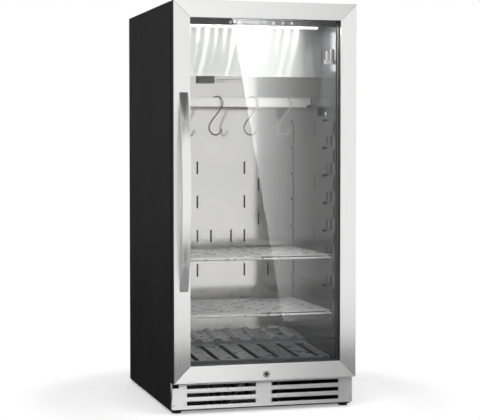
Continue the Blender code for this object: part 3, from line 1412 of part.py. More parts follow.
def build_grille(steel):
    """The kick grille: a folded tray with two windows, each crossed by rolled bars."""
    half = HALF - GRILLE_SIDE_PLAY
    near, far = behind(GRILLE_SETBACK), BODY_FRONT - GAP
    sheet_in = GRILLE_SHEET
    grille = boxes("kick_grille", steel, ((-half, near, GRILLE_BOTTOM), (half, far, GRILLE_TOP)))
    cut(grille, box_mesh([(
        (-half + sheet_in, near + sheet_in, GRILLE_BOTTOM + sheet_in),
        (half - sheet_in, far + OVERRUN, GRILLE_TOP - sheet_in),
    )]))
    first = GRILLE_BOTTOM + GRILLE_SLOT_RISE
    last = first + (GRILLE_SLOTS - 1) * GRILLE_SLOT_PITCH + GRILLE_SLOT_HEIGHT
    window = (GRILLE_POST_HALF, near - OVERRUN, first), (
        GRILLE_POST_HALF + GRILLE_SLOT_LENGTH, near + sheet_in + GAP, last)
    cut(grille, box_mesh([mirrored(*window, 1), mirrored(*window, -1)]))
    left = -half - OVERRUN
    top = GRILLE_TOP - GRILLE_NOTCH_DROP
    cut(grille, box_mesh([(
        (left, near - OVERRUN, top - GRILLE_NOTCH_HEIGHT),
        (-half + GRILLE_NOTCH_WIDTH, near + sheet_in + GAP, top),
    )]))
    for i in range(GRILLE_SLOTS - 1):
        low = first + i * GRILLE_SLOT_PITCH + GRILLE_SLOT_HEIGHT
        high = first + (i + 1) * GRILLE_SLOT_PITCH
        for side in (-1, 1):
            ends = sorted((
                side * (GRILLE_POST_HALF - GRILLE_BAR_BITE),
                side * (GRILLE_POST_HALF + GRILLE_SLOT_LENGTH + GRILLE_BAR_BITE),
            ))
            bar = solid_sheet("grille_bar", [rolled_bar(low, high)], *ends, "YZ", steel)
            join(grille, bar.data.copy())
            bpy.data.objects.remove(bar)


def foot_places():
    """The four foot centres by name."""
    x = HALF - FOOT_SIDE_INSET
    front, rear = BODY_FRONT + FOOT_FRONT_INSET, REAR - FOOT_REAR_INSET
    return {
        "foot_front_left": (-x, front), "foot_front_right": (x, front),
        "foot_rear_left": (-x, rear), "foot_rear_right": (x, rear),
    }


def build_base(paint):
    """The base frame: a pan with a front lip, side flanges, uprights and the front beam."""
    inner = HALF - SKIN - GAP
    front, rear = BODY_FRONT + SKIN + GAP, REAR_SKIN - GAP
    deck = PAN_BOTTOM + PAN_SHEET
    post = HALF - FRONT_FLANGE - GAP
    base = boxes("base_frame", paint, ((-inner, front, PAN_BOTTOM), (inner, rear, deck)))
    bite = PAN_SHEET / 2
    join(base, box_mesh([
        ((-post, BODY_FRONT, PAN_BOTTOM + bite / 2), (post, front + PAN_SHEET, PAN_LIP_TOP)),
    ]))
    flange_low = (inner - PAN_SHEET, front + BEAM_DEPTH * 2, deck - bite)
    flange_high = (inner, rear, deck + PAN_FLANGE_HEIGHT)
    join(base, box_mesh([mirrored(flange_low, flange_high, side) for side in (-1, 1)]))
    beam_low = FOAM_BOTTOM - GAP - BEAM_HEIGHT
    join(base, box_mesh([
        mirrored(
            (post - UPRIGHT_WIDTH, front, deck - bite), (post, front + BEAM_DEPTH, beam_low + bite), side)
        for side in (-1, 1)
    ]))
    join(base, box_mesh([
        ((-post, BODY_FRONT, beam_low), (post, front + BEAM_DEPTH, beam_low + BEAM_HEIGHT)),
    ]))
    bosses, holes = [], []
    for x, y in foot_places().values():
        bosses.append(((x, y, deck - bite), (x, y, deck + FOOT_BOSS_HEIGHT), FOOT_BOSS_RADIUS))
        holes.append((
            (x, y, PAN_BOTTOM - OVERRUN), (x, y, deck + FOOT_BOSS_HEIGHT + OVERRUN),
            FOOT_STUD_RADIUS + FOOT_STUD_PLAY,
        ))
    join(base, rod_mesh(bosses, FOOT_STEPS))
    cut(base, rod_mesh(holes, FOOT_STEPS))


def build_feet(rubber):
    """Four levelling feet: a pad with a chamfered edge on a stud in the base frame's boss."""
    profile = [
        (0, FOOT_STUD_TOP), (FOOT_STUD_RADIUS, FOOT_STUD_TOP), (FOOT_STUD_RADIUS, FOOT_PAD),
        (FOOT_RADIUS - FOOT_CHAMFER, FOOT_PAD), (FOOT_RADIUS, FOOT_PAD - FOOT_CHAMFER),
        (FOOT_RADIUS, FOOT_CHAMFER), (FOOT_RADIUS - FOOT_CHAMFER, 0), (0, 0),
    ]
    for name, (x, y) in foot_places().items():
        lathe(name, profile, (x, y, 0), "Z", FOOT_STEPS, rubber)


def build_machine(paint, metal, plastic):
    """The compressor, the condenser with its fan, and the drip tray."""
    deck = PAN_BOTTOM + PAN_SHEET + GAP
    build_compressor(deck, paint)
    build_condenser(deck, metal, plastic)
    tray_low = Vector((
        DRIP_TRAY_SIDE - DRIP_TRAY_SIZE[0] / 2, DRIP_TRAY_Y - DRIP_TRAY_SIZE[1] / 2, deck + DRIP_TRAY_LEG,
    ))
    tray_high = tray_low + Vector(DRIP_TRAY_SIZE)
    wall = DRIP_TRAY_SHEET
    tray = boxes("drip_tray", plastic, (tray_low, tray_high))
    bowl_low = tray_low + Vector((wall, wall, wall))
    cut(tray, box_mesh([(bowl_low, tray_high + Vector((-wall, -wall, OVERRUN)))]))
    legs = []
    for way in (-1, 1):
        x = DRIP_TRAY_SIDE + way * (DRIP_TRAY_SIZE[0] / 2 - DRIP_TRAY_LEG)
        legs.append((
            (x - DRIP_TRAY_LEG / 2, tray_low.y + DRIP_TRAY_LEG, deck),
            (x + DRIP_TRAY_LEG / 2, tray_high.y - DRIP_TRAY_LEG, tray_low.z + wall / 2),
        ))
    join(tray, box_mesh(legs))


def build_compressor(deck, paint):
    """The sealed compressor: a domed shell with a weld seam, on a foot plate with four feet."""
    low = deck + COMPRESSOR_FOOT
    radius, dome, high = COMPRESSOR_RADIUS, COMPRESSOR_DOME, COMPRESSOR_HEIGHT
    quarter = [
        (radius * math.cos(turn), dome * math.sin(turn))
        for turn in (math.pi / 2 * i / HOOK_SHANK_STEPS for i in range(HOOK_SHANK_STEPS + 1))
    ]
    seam = high / 2
    profile = [(abs(r) if r > WELD else 0, high - dome + z) for r, z in reversed(quarter)]
    profile += [
        (radius, seam + COMPRESSOR_SEAM), (radius + COMPRESSOR_SEAM, seam + COMPRESSOR_SEAM),
        (radius + COMPRESSOR_SEAM, seam), (radius, seam),
    ]
    profile += [(abs(r) if r > WELD else 0, dome - z) for r, z in quarter]
    centre = (COMPRESSOR_SIDE, COMPRESSOR_Y, low)
    shell = lathe("compressor", profile, centre, "Z", COMPRESSOR_STEPS, paint)
    half = COMPRESSOR_PLATE_HALF
    rise = COMPRESSOR_PLATE_RISE
    plate = ((-half, -half, rise), (half, half, rise + COMPRESSOR_PLATE))
    foot = half - COMPRESSOR_FOOT / 2
    feet = [
        ((x, y, -COMPRESSOR_FOOT), (x, y, rise + COMPRESSOR_PLATE / 2), COMPRESSOR_FOOT / 2)
        for x in (-foot, foot) for y in (-foot, foot)
    ]
    join(shell, box_mesh([plate]))
    join(shell, rod_mesh(feet, SHELF_FRAME_SIDES))


def build_condenser(deck, metal, plastic):
    """The finned condenser behind the kick grille, with a framed fan on its rear."""
    x_low = CONDENSER_SIDE - CONDENSER_WIDTH / 2
    near = behind(CONDENSER_SETBACK)
    far = near + CONDENSER_DEPTH
    size = (CONDENSER_WIDTH, CONDENSER_DEPTH, CONDENSER_HEIGHT)
    coil = build_coil("condenser", metal, (x_low, near), deck, size, CONDENSER_ROWS)
    half = CONDENSER_FAN_FRAME / 2
    middle = deck + half
    frame_far = far + FAN_FRAME_DEPTH
    outline = rectangle((CONDENSER_SIDE - half, deck), (CONDENSER_SIDE + half, deck + 2 * half))
    bore = circle((CONDENSER_SIDE, middle), CONDENSER_FAN_BORE)
    frame = solid_sheet("condenser_frame", [outline, bore], far - FIN_SHEET, frame_far, "XZ", plastic)
    join(coil, frame.data.copy())
    bpy.data.objects.remove(frame)
    strut = FAN_STRUT / 2
    strut_far = far + FAN_STRUT_DEPTH
    join(coil, box_mesh([(
        (CONDENSER_SIDE - half + strut, far - FIN_SHEET / 2, middle - strut),
        (CONDENSER_SIDE + half - strut, strut_far, middle + strut),
    )]))
    motor_far = strut_far + FAN_MOTOR_DEPTH / 2
    join(coil, rod_mesh([(
        (CONDENSER_SIDE, far, middle), (CONDENSER_SIDE, motor_far, middle), CONDENSER_MOTOR_RADIUS,
    )], HINGE_STEPS))
    rotor_at = Vector((CONDENSER_SIDE, motor_far + GAP, middle))
    depth = frame_far - motor_far - 2 * GAP
    rotor = fan_rotor("condenser_fan", rotor_at, "Y", CONDENSER_FAN_RADIUS, depth, plastic)
    pivot("condenser_fan_axis", rotor_at, rotor)


def main():
    start_scene()
    paint = finish("black_paint", (0.018, 0.018, 0.019), 0.45)
    stainless = finish("brushed_stainless", (0.74, 0.74, 0.73), 0.30, 1.0)
    chrome = finish("chrome", (0.80, 0.80, 0.80), 0.12, 1.0)
    black = finish("black_plastic", (0.022, 0.022, 0.024), 0.40)
    liner = finish("liner_plastic", (0.075, 0.078, 0.080), 0.45)
    foam = finish("foam", (0.72, 0.64, 0.44), 0.90)
    glass = finish("glass", (0.92, 0.95, 0.94), 0.02, 0.0, 1.0)
    spacer = finish("spacer_aluminium", (0.30, 0.30, 0.31), 0.40, 1.0)
    rubber = finish("rubber", (0.020, 0.020, 0.020), 0.70)
    polymer = finish("bush_polymer", (0.55, 0.52, 0.44), 0.50)
    aluminium = finish("aluminium", (0.66, 0.67, 0.68), 0.35, 1.0)
    lens = finish("lens", (0.95, 0.97, 1.0), 0.30)
    white = finish("white_plastic", (0.80, 0.80, 0.79), 0.40)
    build_shell(paint)
    build_machine_cover(paint, black)
    build_foam(foam)
    build_liner(liner)
    build_wall_bracket(white)
    build_air_panel(stainless)
    build_duct(stainless, black, aluminium)
    build_controls(black, aluminium, lens)
    build_bar(stainless, liner)
    build_hooks(chrome)
    build_shelf("shelf_upper", UPPER_SHELF_RAIL, chrome)
    build_shelf("shelf_lower", LOWER_SHELF_RAIL, chrome)
    build_rack(liner)
    build_door(stainless, black, glass, spacer, rubber, polymer)
    build_hinge("hinge_upper", True, chrome)
    build_hinge("hinge_lower", False, chrome)
    build_keeper(chrome)
    build_grille(stainless)
    build_base(paint)
    build_feet(rubber)
    build_machine(paint, aluminium, black)


main()
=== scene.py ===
"""The looks of a dry aging cabinet, dressed on its packed construction.

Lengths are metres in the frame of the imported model: +X to the right as seen from the front, -Y
towards the user and +Z up. Each sub-assembly is a class that holds its sizes and builds its pieces.
"""

from __future__ import annotations

import json
import logging
import math
from dataclasses import dataclass, field
from enum import Enum
from typing import Any, Sequence

import bpy
from bpy.types import Material, Node, NodeSocket, NodeTree, Object
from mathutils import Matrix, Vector

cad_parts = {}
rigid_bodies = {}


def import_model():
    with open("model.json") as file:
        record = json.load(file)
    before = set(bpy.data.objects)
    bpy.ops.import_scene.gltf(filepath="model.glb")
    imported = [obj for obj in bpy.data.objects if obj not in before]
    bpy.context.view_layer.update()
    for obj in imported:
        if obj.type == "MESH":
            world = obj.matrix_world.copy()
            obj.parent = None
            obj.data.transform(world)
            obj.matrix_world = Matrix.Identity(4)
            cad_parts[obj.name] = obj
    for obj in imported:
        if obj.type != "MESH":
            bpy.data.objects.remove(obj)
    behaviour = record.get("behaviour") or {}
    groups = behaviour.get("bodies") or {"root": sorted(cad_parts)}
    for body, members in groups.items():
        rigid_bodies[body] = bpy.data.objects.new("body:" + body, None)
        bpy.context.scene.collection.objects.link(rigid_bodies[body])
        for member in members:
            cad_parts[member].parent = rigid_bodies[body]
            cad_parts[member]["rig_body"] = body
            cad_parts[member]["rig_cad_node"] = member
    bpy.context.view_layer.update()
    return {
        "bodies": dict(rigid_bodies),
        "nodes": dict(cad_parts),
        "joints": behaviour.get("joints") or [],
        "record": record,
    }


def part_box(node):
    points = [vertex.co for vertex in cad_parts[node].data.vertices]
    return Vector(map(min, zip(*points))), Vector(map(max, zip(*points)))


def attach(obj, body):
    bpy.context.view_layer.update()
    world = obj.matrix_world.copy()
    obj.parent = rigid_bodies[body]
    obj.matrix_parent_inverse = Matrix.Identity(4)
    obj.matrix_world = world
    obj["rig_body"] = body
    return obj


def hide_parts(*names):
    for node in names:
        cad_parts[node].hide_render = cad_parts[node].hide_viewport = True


LOG = logging.getLogger("dry_aging_cabinet")
BURY = 0.0003
MERGE = 1e-5
FLAT_DEG = 0.5
SHARP_DEG = 32.0
NOISE_SPAN = (0.3, 0.7)
UNIT_SPAN = (0.0, 1.0)
GRAIN_DETAIL, FLECK_DETAIL, SMEAR_DETAIL, CLOUD_DETAIL, STAIN_DETAIL = 1.0, 2.0, 3.0, 4.0, 5.0
WHITE = (1.0, 1.0, 1.0)
Colour = tuple[float, float, float]
Place = tuple[float, float, float]
Span = tuple[float, float]
Numbers = Sequence[float]
Value = NodeSocket | float


class Brush(Enum):
    """The axis along which a steel sheet was brushed."""

    ACROSS = "X"
    UPRIGHT = "Z"


class Reach(Enum):
    """What a lamp lights: only some pieces, or all but these."""

    ONLY = "INCLUDE"
    ALL_BUT = "EXCLUDE"


class Rounding(Enum):
    """How many facets stand for a rounded edge."""

    CHAMFER = 1
    ROUND = 2
    DOME = 3


def shade(colour: Colour, share: float) -> Colour:
    """A colour made lighter or darker by a share of itself."""
    return tuple(min(1.0, part * (1 + share)) for part in colour)


def front_of(obj: Object) -> float:
    """The place along Y of an object's foremost point."""
    return min((obj.matrix_world @ Vector(corner)).y for corner in obj.bound_box)


def add_lamp(name: str, kind: str, place: Numbers, power: float, **settings: Any) -> Object:
    """A lamp that shows only by its light and in what mirrors it.

    Args:
        name: the lamp's name.
        kind: the light's type.
        place: where it stands.
        power: its power in watts.
        settings: the light's other properties, by name.

    Returns:
        The lamp.
    """
    data = bpy.data.lights.new(name, kind)
    data.energy = power
    for key, value in settings.items():
        setattr(data, key, value)
    lamp = bpy.data.objects.new(name, data)
    lamp.location = place
    lamp.visible_camera = False
    lamp.visible_transmission = False
    bpy.context.scene.collection.objects.link(lamp)
    return lamp


def link_light(lamps: Sequence[Object], reach: Reach, pieces: Sequence[Object]) -> None:
    """Lets lamps light only some pieces, or keeps them off these pieces.

    Args:
        lamps: the lamps, or a glowing piece.
        reach: what they light.
        pieces: the pieces that are meant.
    """
    group = bpy.data.collections.new(f"{lamps[0].name}_pieces")
    for piece in pieces:
        group.objects.link(piece)
    for member in group.collection_objects:
        member.light_linking.link_state = reach.value
    for lamp in lamps:
        lamp.light_linking.receiver_collection = group


class Graph:
    """A tree of shader nodes while it is put together."""

    def __init__(self, tree: NodeTree) -> None:
        """Starts on the node tree of a material or of the world."""
        self.tree = tree

    def feed(self, value: Any, end: NodeSocket) -> None:
        """Links a socket to an input, or writes a value on it.

        Args:
            value: a socket, a number or a list of numbers.
            end: the input.
        """
        if isinstance(value, NodeSocket):
            self.tree.links.new(value, end)
        else:
            end.default_value = value

    def node(self, kind: str, feeds: dict[str | int, Any] | None = None, **settings: Any) -> Node:
        """Adds a node.

        Args:
            kind: the node's type, without its ShaderNode prefix.
            feeds: what its inputs get, by their name or number.
            settings: its properties, by name.

        Returns:
            The node.
        """
        made = self.tree.nodes.new("ShaderNode" + kind)
        for key, value in settings.items():
            setattr(made, key, value)
        for key, value in (feeds or {}).items():
            self.feed(value, made.inputs[key])
        return made

    def sum(self, operation: str, *values: Value) -> NodeSocket:
        """Arithmetic on sockets and numbers, with the Math node's operation."""
        return self.node("Math", dict(enumerate(values)), operation=operation).outputs[0]

    def product(self, first: Value, second: Value) -> NodeSocket:
        """One value times another."""
        return self.sum("MULTIPLY", first, second)

    def remap(self, value: Value, start: Numbers, end: Numbers, kind: str = "LINEAR") -> NodeSocket:
        """A value carried from one range to another, and held at its ends.

        Args:
            value: the value.
            start: the range that it comes from.
            end: the range that it goes to.
            kind: the way between the ends.

        Returns:
            A value socket.
        """
        ends = dict(zip(("From Min", "From Max", "To Min", "To Max"), (*start, *end)))
        made = self.node("MapRange", {**ends, "Value": value}, interpolation_type=kind)
        return made.outputs["Result"]

    def ramp(self, value: Value, span: Span) -> NodeSocket:
        """A value that goes from 0 to 1 between the two places of a span."""
        ends = UNIT_SPAN if span[0] < span[1] else UNIT_SPAN[::-1]
        return self.remap(value, sorted(span), ends, "SMOOTHSTEP")

    def mixed(self, share: Value, first: Value, second: Value) -> NodeSocket:
        """A number between two others."""
        return self.node("Mix", {0: share, 2: first, 3: second}, data_type="FLOAT").outputs[0]

    def shaded(self, level: Value, mask: Value, depth: float) -> NodeSocket:
        """A level made lower by a depth where a mask is 1."""
        return self.product(level, self.sum("MULTIPLY_ADD", mask, -depth, 1.0))

    def axes(self, vector: NodeSocket) -> list[NodeSocket]:
        """The three parts of a vector."""
        return list(self.node("SeparateXYZ", {"Vector": vector}).outputs)


class Recipe(Graph):
    """A material while it is put together: its nodes and the links between them."""

    def __init__(self, name: str) -> None:
        """Starts a material with one Principled shader.

        Args:
            name: the material's name.
        """
        self.material = bpy.data.materials.new(name)
        self.material.use_nodes = True
        super().__init__(self.material.node_tree)
        self.shader = self.tree.nodes["Principled BSDF"]
        self.surface = self.tree.nodes["Material Output"].inputs["Surface"]

    def put(self, feeds: dict[str, Any]) -> None:
        """Feeds inputs of the Principled shader, by name."""
        for key, value in feeds.items():
            self.feed(value, self.shader.inputs[key])

    def place(self) -> NodeSocket:
        """The piece's own coordinates, in metres."""
        return self.node("TexCoord").outputs["Object"]

    def noise(self, size: Numbers, detail: float) -> NodeSocket:
        """Cloudy noise over the piece.

        Args:
            size: the size of a cloud along X, Y and Z, in metres.
            detail: how many finer layers lie on it.

        Returns:
            A value socket from 0 to 1.
        """
        cells = self.node("Mapping", {"Scale": [1 / part for part in size], "Vector": self.place()})
        feeds = {"Scale": 1.0, "Detail": detail, "Vector": cells.outputs["Vector"]}
        return self.node("TexNoise", feeds).outputs["Fac"]

    def spread(self, noise: NodeSocket) -> NodeSocket:
        """Noise with its middle values spread out from 0 to 1."""
        return self.remap(noise, NOISE_SPAN, UNIT_SPAN)

    def paint(self, value: Value, colour: Colour, darker: float, lighter: float) -> None:
        """Colours the surface with shades of one colour.

        Args:
            value: the shade at each point, from 0 for the darkest to 1.
            colour: the colour.
            darker: the share of itself that the darkest shade loses.
            lighter: the share of itself that the lightest shade gains.
        """
        ends = {"A": (*shade(colour, -darker), 1), "B": (*shade(colour, lighter), 1)}
        made = self.node("Mix", {**ends, "Factor": value}, data_type="RGBA")
        self.put({"Base Color": made.outputs["Result"]})

    def gloss(self, noise: NodeSocket, roughness: float, spread: float) -> None:
        """Lets the roughness go up and down by a spread, with a noise."""
        ends = (roughness - spread, roughness + spread)
        self.put({"Roughness": self.remap(noise, NOISE_SPAN, ends)})

    def relief(self, height: NodeSocket, depth: float) -> None:
        """Bumps of a depth in metres on the surface."""
        made = self.node("Bump", {"Strength": 1.0, "Distance": depth, "Height": height})
        self.put({"Normal": made.outputs["Normal"]})

    def glow(self, colour: Colour, strength: Value) -> None:
        """Light given off by the surface."""
        self.put({"Emission Color": (*colour, 1), "Emission Strength": strength})

    def blend(self, share: Value, other: Node) -> None:
        """Shows the Principled shader with a share of another one."""
        feeds = {0: share, 1: self.shader.outputs[0], 2: other.outputs[0]}
        self.feed(self.node("MixShader", feeds).outputs[0], self.surface)

    def open_to_lamps(self, clear: float) -> None:
        """Lets a share of the lamps' light pass, as a clear sheet does."""
        through = self.node("BsdfTransparent", {"Color": (clear, clear, clear, 1)})
        self.blend(self.node("LightPath").outputs["Is Shadow Ray"], through)


@dataclass(frozen=True)
class Finish:
    """A matt or satin finish: paint, plastic, rubber, foam, cast metal or dull wire."""

    name: str
    colour: Colour
    roughness: float
    metallic: float = 0.0
    specular: float = 0.5
    mottle_size: float = 0.060
    mottle_share: float = 0.08
    gloss_spread: float = 0.05
    grain_size: float = 0.0009
    grain_depth: float = 0.00003

    def make(self) -> Material:
        """Mixes cloudy colour, uneven gloss and a fine grain.

        Returns:
            The material.
        """
        recipe = Recipe(self.name)
        cloud = recipe.noise((self.mottle_size,) * 3, CLOUD_DETAIL)
        recipe.paint(recipe.spread(cloud), self.colour, self.mottle_share, self.mottle_share)
        smear = recipe.noise((self.mottle_size / 2,) * 3, SMEAR_DETAIL)
        recipe.gloss(smear, self.roughness, self.gloss_spread)
        recipe.put({"Metallic": self.metallic, "Specular IOR Level": self.specular})
        recipe.relief(recipe.noise((self.grain_size,) * 3, GRAIN_DETAIL), self.grain_depth)
        return recipe.material


@dataclass(frozen=True)
class BrushedSteel:
    """Stainless steel with fine lines brushed one way, and a sharper streak over its shine."""

    name: str
    brush: Brush
    colour: Colour
    roughness: float
    anisotropy: float = 1.0
    line_length: float = 0.120
    line_width: float = 0.0005
    line_depth: float = 0.000004
    mottle_share: float = 0.03
    gloss_spread: float = 0.04
    glint_share: float = 0.0
    glint_roughness: float = 0.29
    glint_stretch: float = 0.86

    def make(self) -> Material:
        """Mixes lines in the colour, the gloss and the relief with a stretched shine.

        Returns:
            The material.
        """
        recipe = Recipe(self.name)
        size = [self.line_width] * 3
        size["XYZ".index(self.brush.value)] = self.line_length
        lines = recipe.noise(size, SMEAR_DETAIL)
        recipe.paint(recipe.spread(lines), self.colour, self.mottle_share, self.mottle_share)
        recipe.gloss(lines, self.roughness, self.gloss_spread)
        along = recipe.node("Tangent", direction_type="RADIAL", axis=self.brush.value).outputs[0]
        recipe.put({"Metallic": 1.0, "Anisotropic": self.anisotropy, "Tangent": along})
        recipe.relief(lines, self.line_depth)
        if self.glint_share:
            feeds = {
                "Color": (*self.colour, 1), "Roughness": self.glint_roughness,
                "Anisotropy": -self.glint_stretch, "Tangent": along,
            }
            recipe.blend(self.glint_share, recipe.node("BsdfAnisotropic", feeds))
        return recipe.material


@dataclass(frozen=True)
class PolishedMetal:
    """Plated wire or polished sheet, a little uneven."""

    name: str
    colour: Colour = (0.80, 0.80, 0.79)
    roughness: float = 0.14
    gloss_spread: float = 0.05
    wave_size: float = 0.030
    wave_depth: float = 0.00004
    darker: float = 0.05
    lighter: float = 0.04

    def make(self) -> Material:
        """Mixes a mirror with smears and long waves.

        Returns:
            The material.
        """
        recipe = Recipe(self.name)
        smear = recipe.noise((self.wave_size,) * 3, STAIN_DETAIL)
        recipe.paint(recipe.spread(smear), self.colour, self.darker, self.lighter)
        recipe.gloss(smear, self.roughness, self.gloss_spread)
        recipe.put({"Metallic": 1.0})
        recipe.relief(recipe.noise((self.wave_size,) * 3, GRAIN_DETAIL), self.wave_depth)
        return recipe.material


@dataclass(frozen=True)
class ClearPane:
    """Clear glass or plastic that lets the lamps shine through, and may glow in its upper part."""

    name: str
    colour: Colour
    refraction: float = 1.25
    clear: float = 0.92
    smear_size: Place = (0.20, 0.20, 0.35)
    smear_share: float = 0.01
    glow_colour: Colour = WHITE
    glow_strength: float = 0.0
    glow_rise: Span = UNIT_SPAN

    def make(self) -> Material:
        """Mixes refracting glass with a faint smear in its tint.

        Returns:
            The material.
        """
        recipe = Recipe(self.name)
        smear = recipe.noise(self.smear_size, SMEAR_DETAIL)
        recipe.paint(recipe.spread(smear), self.colour, self.smear_share, 0.0)
        recipe.put({"Roughness": 0.0, "IOR": self.refraction, "Transmission Weight": 1.0})
        if self.glow_strength:
            risen = recipe.ramp(recipe.axes(recipe.place())[2], self.glow_rise)
            recipe.glow(self.glow_colour, recipe.product(risen, self.glow_strength))
        recipe.open_to_lamps(self.clear)
        return recipe.material


@dataclass(frozen=True)
class Glow:
    """A surface that gives off light, with faint flecks."""

    name: str
    colour: Colour
    strength: float
    roughness: float = 0.4
    fleck_size: float = 0.004
    fleck_share: float = 0.1

    def make(self) -> Material:
        """Mixes a faintly flecked colour with its glow.

        Returns:
            The material.
        """
        recipe = Recipe(self.name)
        fleck = recipe.noise((self.fleck_size,) * 3, FLECK_DETAIL)
        recipe.paint(fleck, self.colour, self.fleck_share, 0.0)
        recipe.put({"Roughness": self.roughness})
        recipe.glow(self.colour, self.strength)
        return recipe.material


class Bench:
    """Blender's modelling operators, used on one piece at a time."""

    @staticmethod
    def hold(obj: Object) -> None:
        """Makes an object the only selected and the active one.

        Args:
            obj: the object.
        """
        bpy.ops.object.select_all(action="DESELECT")
        obj.select_set(True)
        bpy.context.view_layer.objects.active = obj

    @staticmethod
    def named(name: str) -> Object:
        """Names the primitive that was just added, with its place put in its mesh.

        Args:
            name: the object's name.

        Returns:
            The object.
        """
        obj = bpy.context.object
        obj.name = obj.data.name = name
        Bench.hold(obj)
        bpy.ops.object.transform_apply(location=True, rotation=True, scale=True)
        return obj

    @staticmethod
    def box(name: str, low: Numbers, high: Numbers) -> Object:
        """A cube stretched between two corners.

        Args:
            name: the object's name.
            low: its lowest corner.
            high: its highest corner.

        Returns:
            The object.
        """
        low, high = Vector(low), Vector(high)
        bpy.ops.mesh.primitive_cube_add(size=1, location=(low + high) / 2)
        bpy.context.object.scale = high - low
        return Bench.named(name)

    @staticmethod
    def rod(name: str, start: Numbers, end: Numbers, radius: float, sides: int) -> Object:
        """A cylinder between two points.

        Args:
            name: the object's name.
            start: the middle of one end.
            end: the middle of the other end.
            radius: its radius.
            sides: how many flat sides stand for the round.

        Returns:
            The object.
        """
        start, end = Vector(start), Vector(end)
        run = end - start
        bpy.ops.mesh.primitive_cylinder_add(
            vertices=sides, radius=radius, depth=run.length, location=(start + end) / 2,
            rotation=run.to_track_quat("Z", "Y").to_euler(),
        )
        return Bench.named(name)

    @staticmethod
    def apply(obj: Object, kind: str, **settings: Any) -> None:
        """Adds a modifier and applies it.

        Args:
            obj: the object.
            kind: the modifier's type.
            settings: its properties, by name.
        """
        Bench.hold(obj)
        made = obj.modifiers.new(kind.title(), kind)
        for key, value in settings.items():
            setattr(made, key, value)
        bpy.ops.object.modifier_apply(modifier=made.name)

    @staticmethod
    def soften(obj: Object, width: float, rounding: Rounding = Rounding.ROUND) -> None:
        """Rounds an object's sharp edges.

        Args:
            obj: the object.
            width: the rounding's width.
            rounding: how round it is.
        """
        Bench.apply(
            obj, "BEVEL", width=width, segments=rounding.value, limit_method="ANGLE",
            angle_limit=math.radians(SHARP_DEG), use_clamp_overlap=True,
        )

    @staticmethod
    def smooth(obj: Object) -> None:
        """Shades an object smooth but for its sharp edges, with its wide faces kept flat.

        Args:
            obj: the object.
        """
        Bench.hold(obj)
        bpy.ops.object.shade_smooth_by_angle(angle=math.radians(SHARP_DEG))
        Bench.apply(obj, "WEIGHTED_NORMAL", keep_sharp=True, weight=100)

    @staticmethod
    def merged_copy(obj: Object, name: str) -> Object:
        """A copy with its own mesh, its points merged and its flat faces made whole.

        Args:
            obj: the object.
            name: the copy's name.

        Returns:
            The copy.
        """
        made = obj.copy()
        made.data = obj.data.copy()
        made.name = made.data.name = name
        bpy.context.scene.collection.objects.link(made)
        made.parent = None
        made.hide_render = False
        Bench.hold(made)
        bpy.ops.object.mode_set(mode="EDIT")
        bpy.ops.mesh.select_all(action="SELECT")
        bpy.ops.mesh.remove_doubles(threshold=MERGE)
        bpy.ops.mesh.dissolve_limited(angle_limit=math.radians(FLAT_DEG))
        bpy.ops.object.mode_set(mode="OBJECT")
        return made

    @staticmethod
    def join(objs: Sequence[Object], name: str) -> Object:
        """Joins objects into the first one.

        Args:
            objs: the objects.
            name: the name that they get.

        Returns:
            The first object.
        """
        Bench.hold(objs[0])
        for obj in objs:
            obj.select_set(True)
        bpy.ops.object.join()
        objs[0].name = objs[0].data.name = name
        return objs[0]


@dataclass
class Dresser:
    """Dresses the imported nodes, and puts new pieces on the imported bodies."""

    frame: dict[str, Any]
    made: dict[str, Material] = field(default_factory=dict)

    def dress(self, obj: Object, *finishes: Any) -> None:
        """Gives an object its finishes, whose materials are made once.

        Args:
            obj: the object.
            finishes: the finishes, in the order of its material slots.
        """
        obj.data.materials.clear()
        for finish in finishes:
            if finish.name not in self.made:
                self.made[finish.name] = finish.make()
            obj.data.materials.append(self.made[finish.name])

    def keep(self, finish: Any, *nodes: str) -> None:
        """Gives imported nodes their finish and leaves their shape.

        Args:
            finish: the finish.
            nodes: the nodes' names.
        """
        for node in nodes:
            self.dress(self.frame["nodes"][node], finish)
            LOG.info("%s keeps its solid, in %s", node, finish.name)

    def round_off(self, finish: Any, width: float, *nodes: str) -> list[Object]:
        """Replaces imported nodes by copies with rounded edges.

        Args:
            finish: the finish.
            width: the rounding's width.
            nodes: the nodes' names.

        Returns:
            The copies.
        """
        made = []
        for node in nodes:
            packed = self.frame["nodes"][node]
            obj = Bench.merged_copy(packed, f"{node}_rounded")
            del obj["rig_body"], obj["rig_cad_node"]
            Bench.soften(obj, width)
            rows = self.frame["record"]["subparts"]
            slot = next(row["material_slot"] for row in rows if row["node"] == node)
            self.add(obj, finish, packed["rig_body"], slot)
            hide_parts(node)
            made.append(obj)
        return made

    def add(self, obj: Object, finish: Any, body: str, slot: str) -> None:
        """Finishes a new piece and lets it ride on a body.

        Args:
            obj: the piece.
            finish: its finish.
            body: the body that it moves with.
            slot: the record's material slot; not used.
        """
        Bench.smooth(obj)
        self.dress(obj, finish)
        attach(obj, body)
        LOG.info("%s rides on %s, in %s", obj.name, body, finish.name)


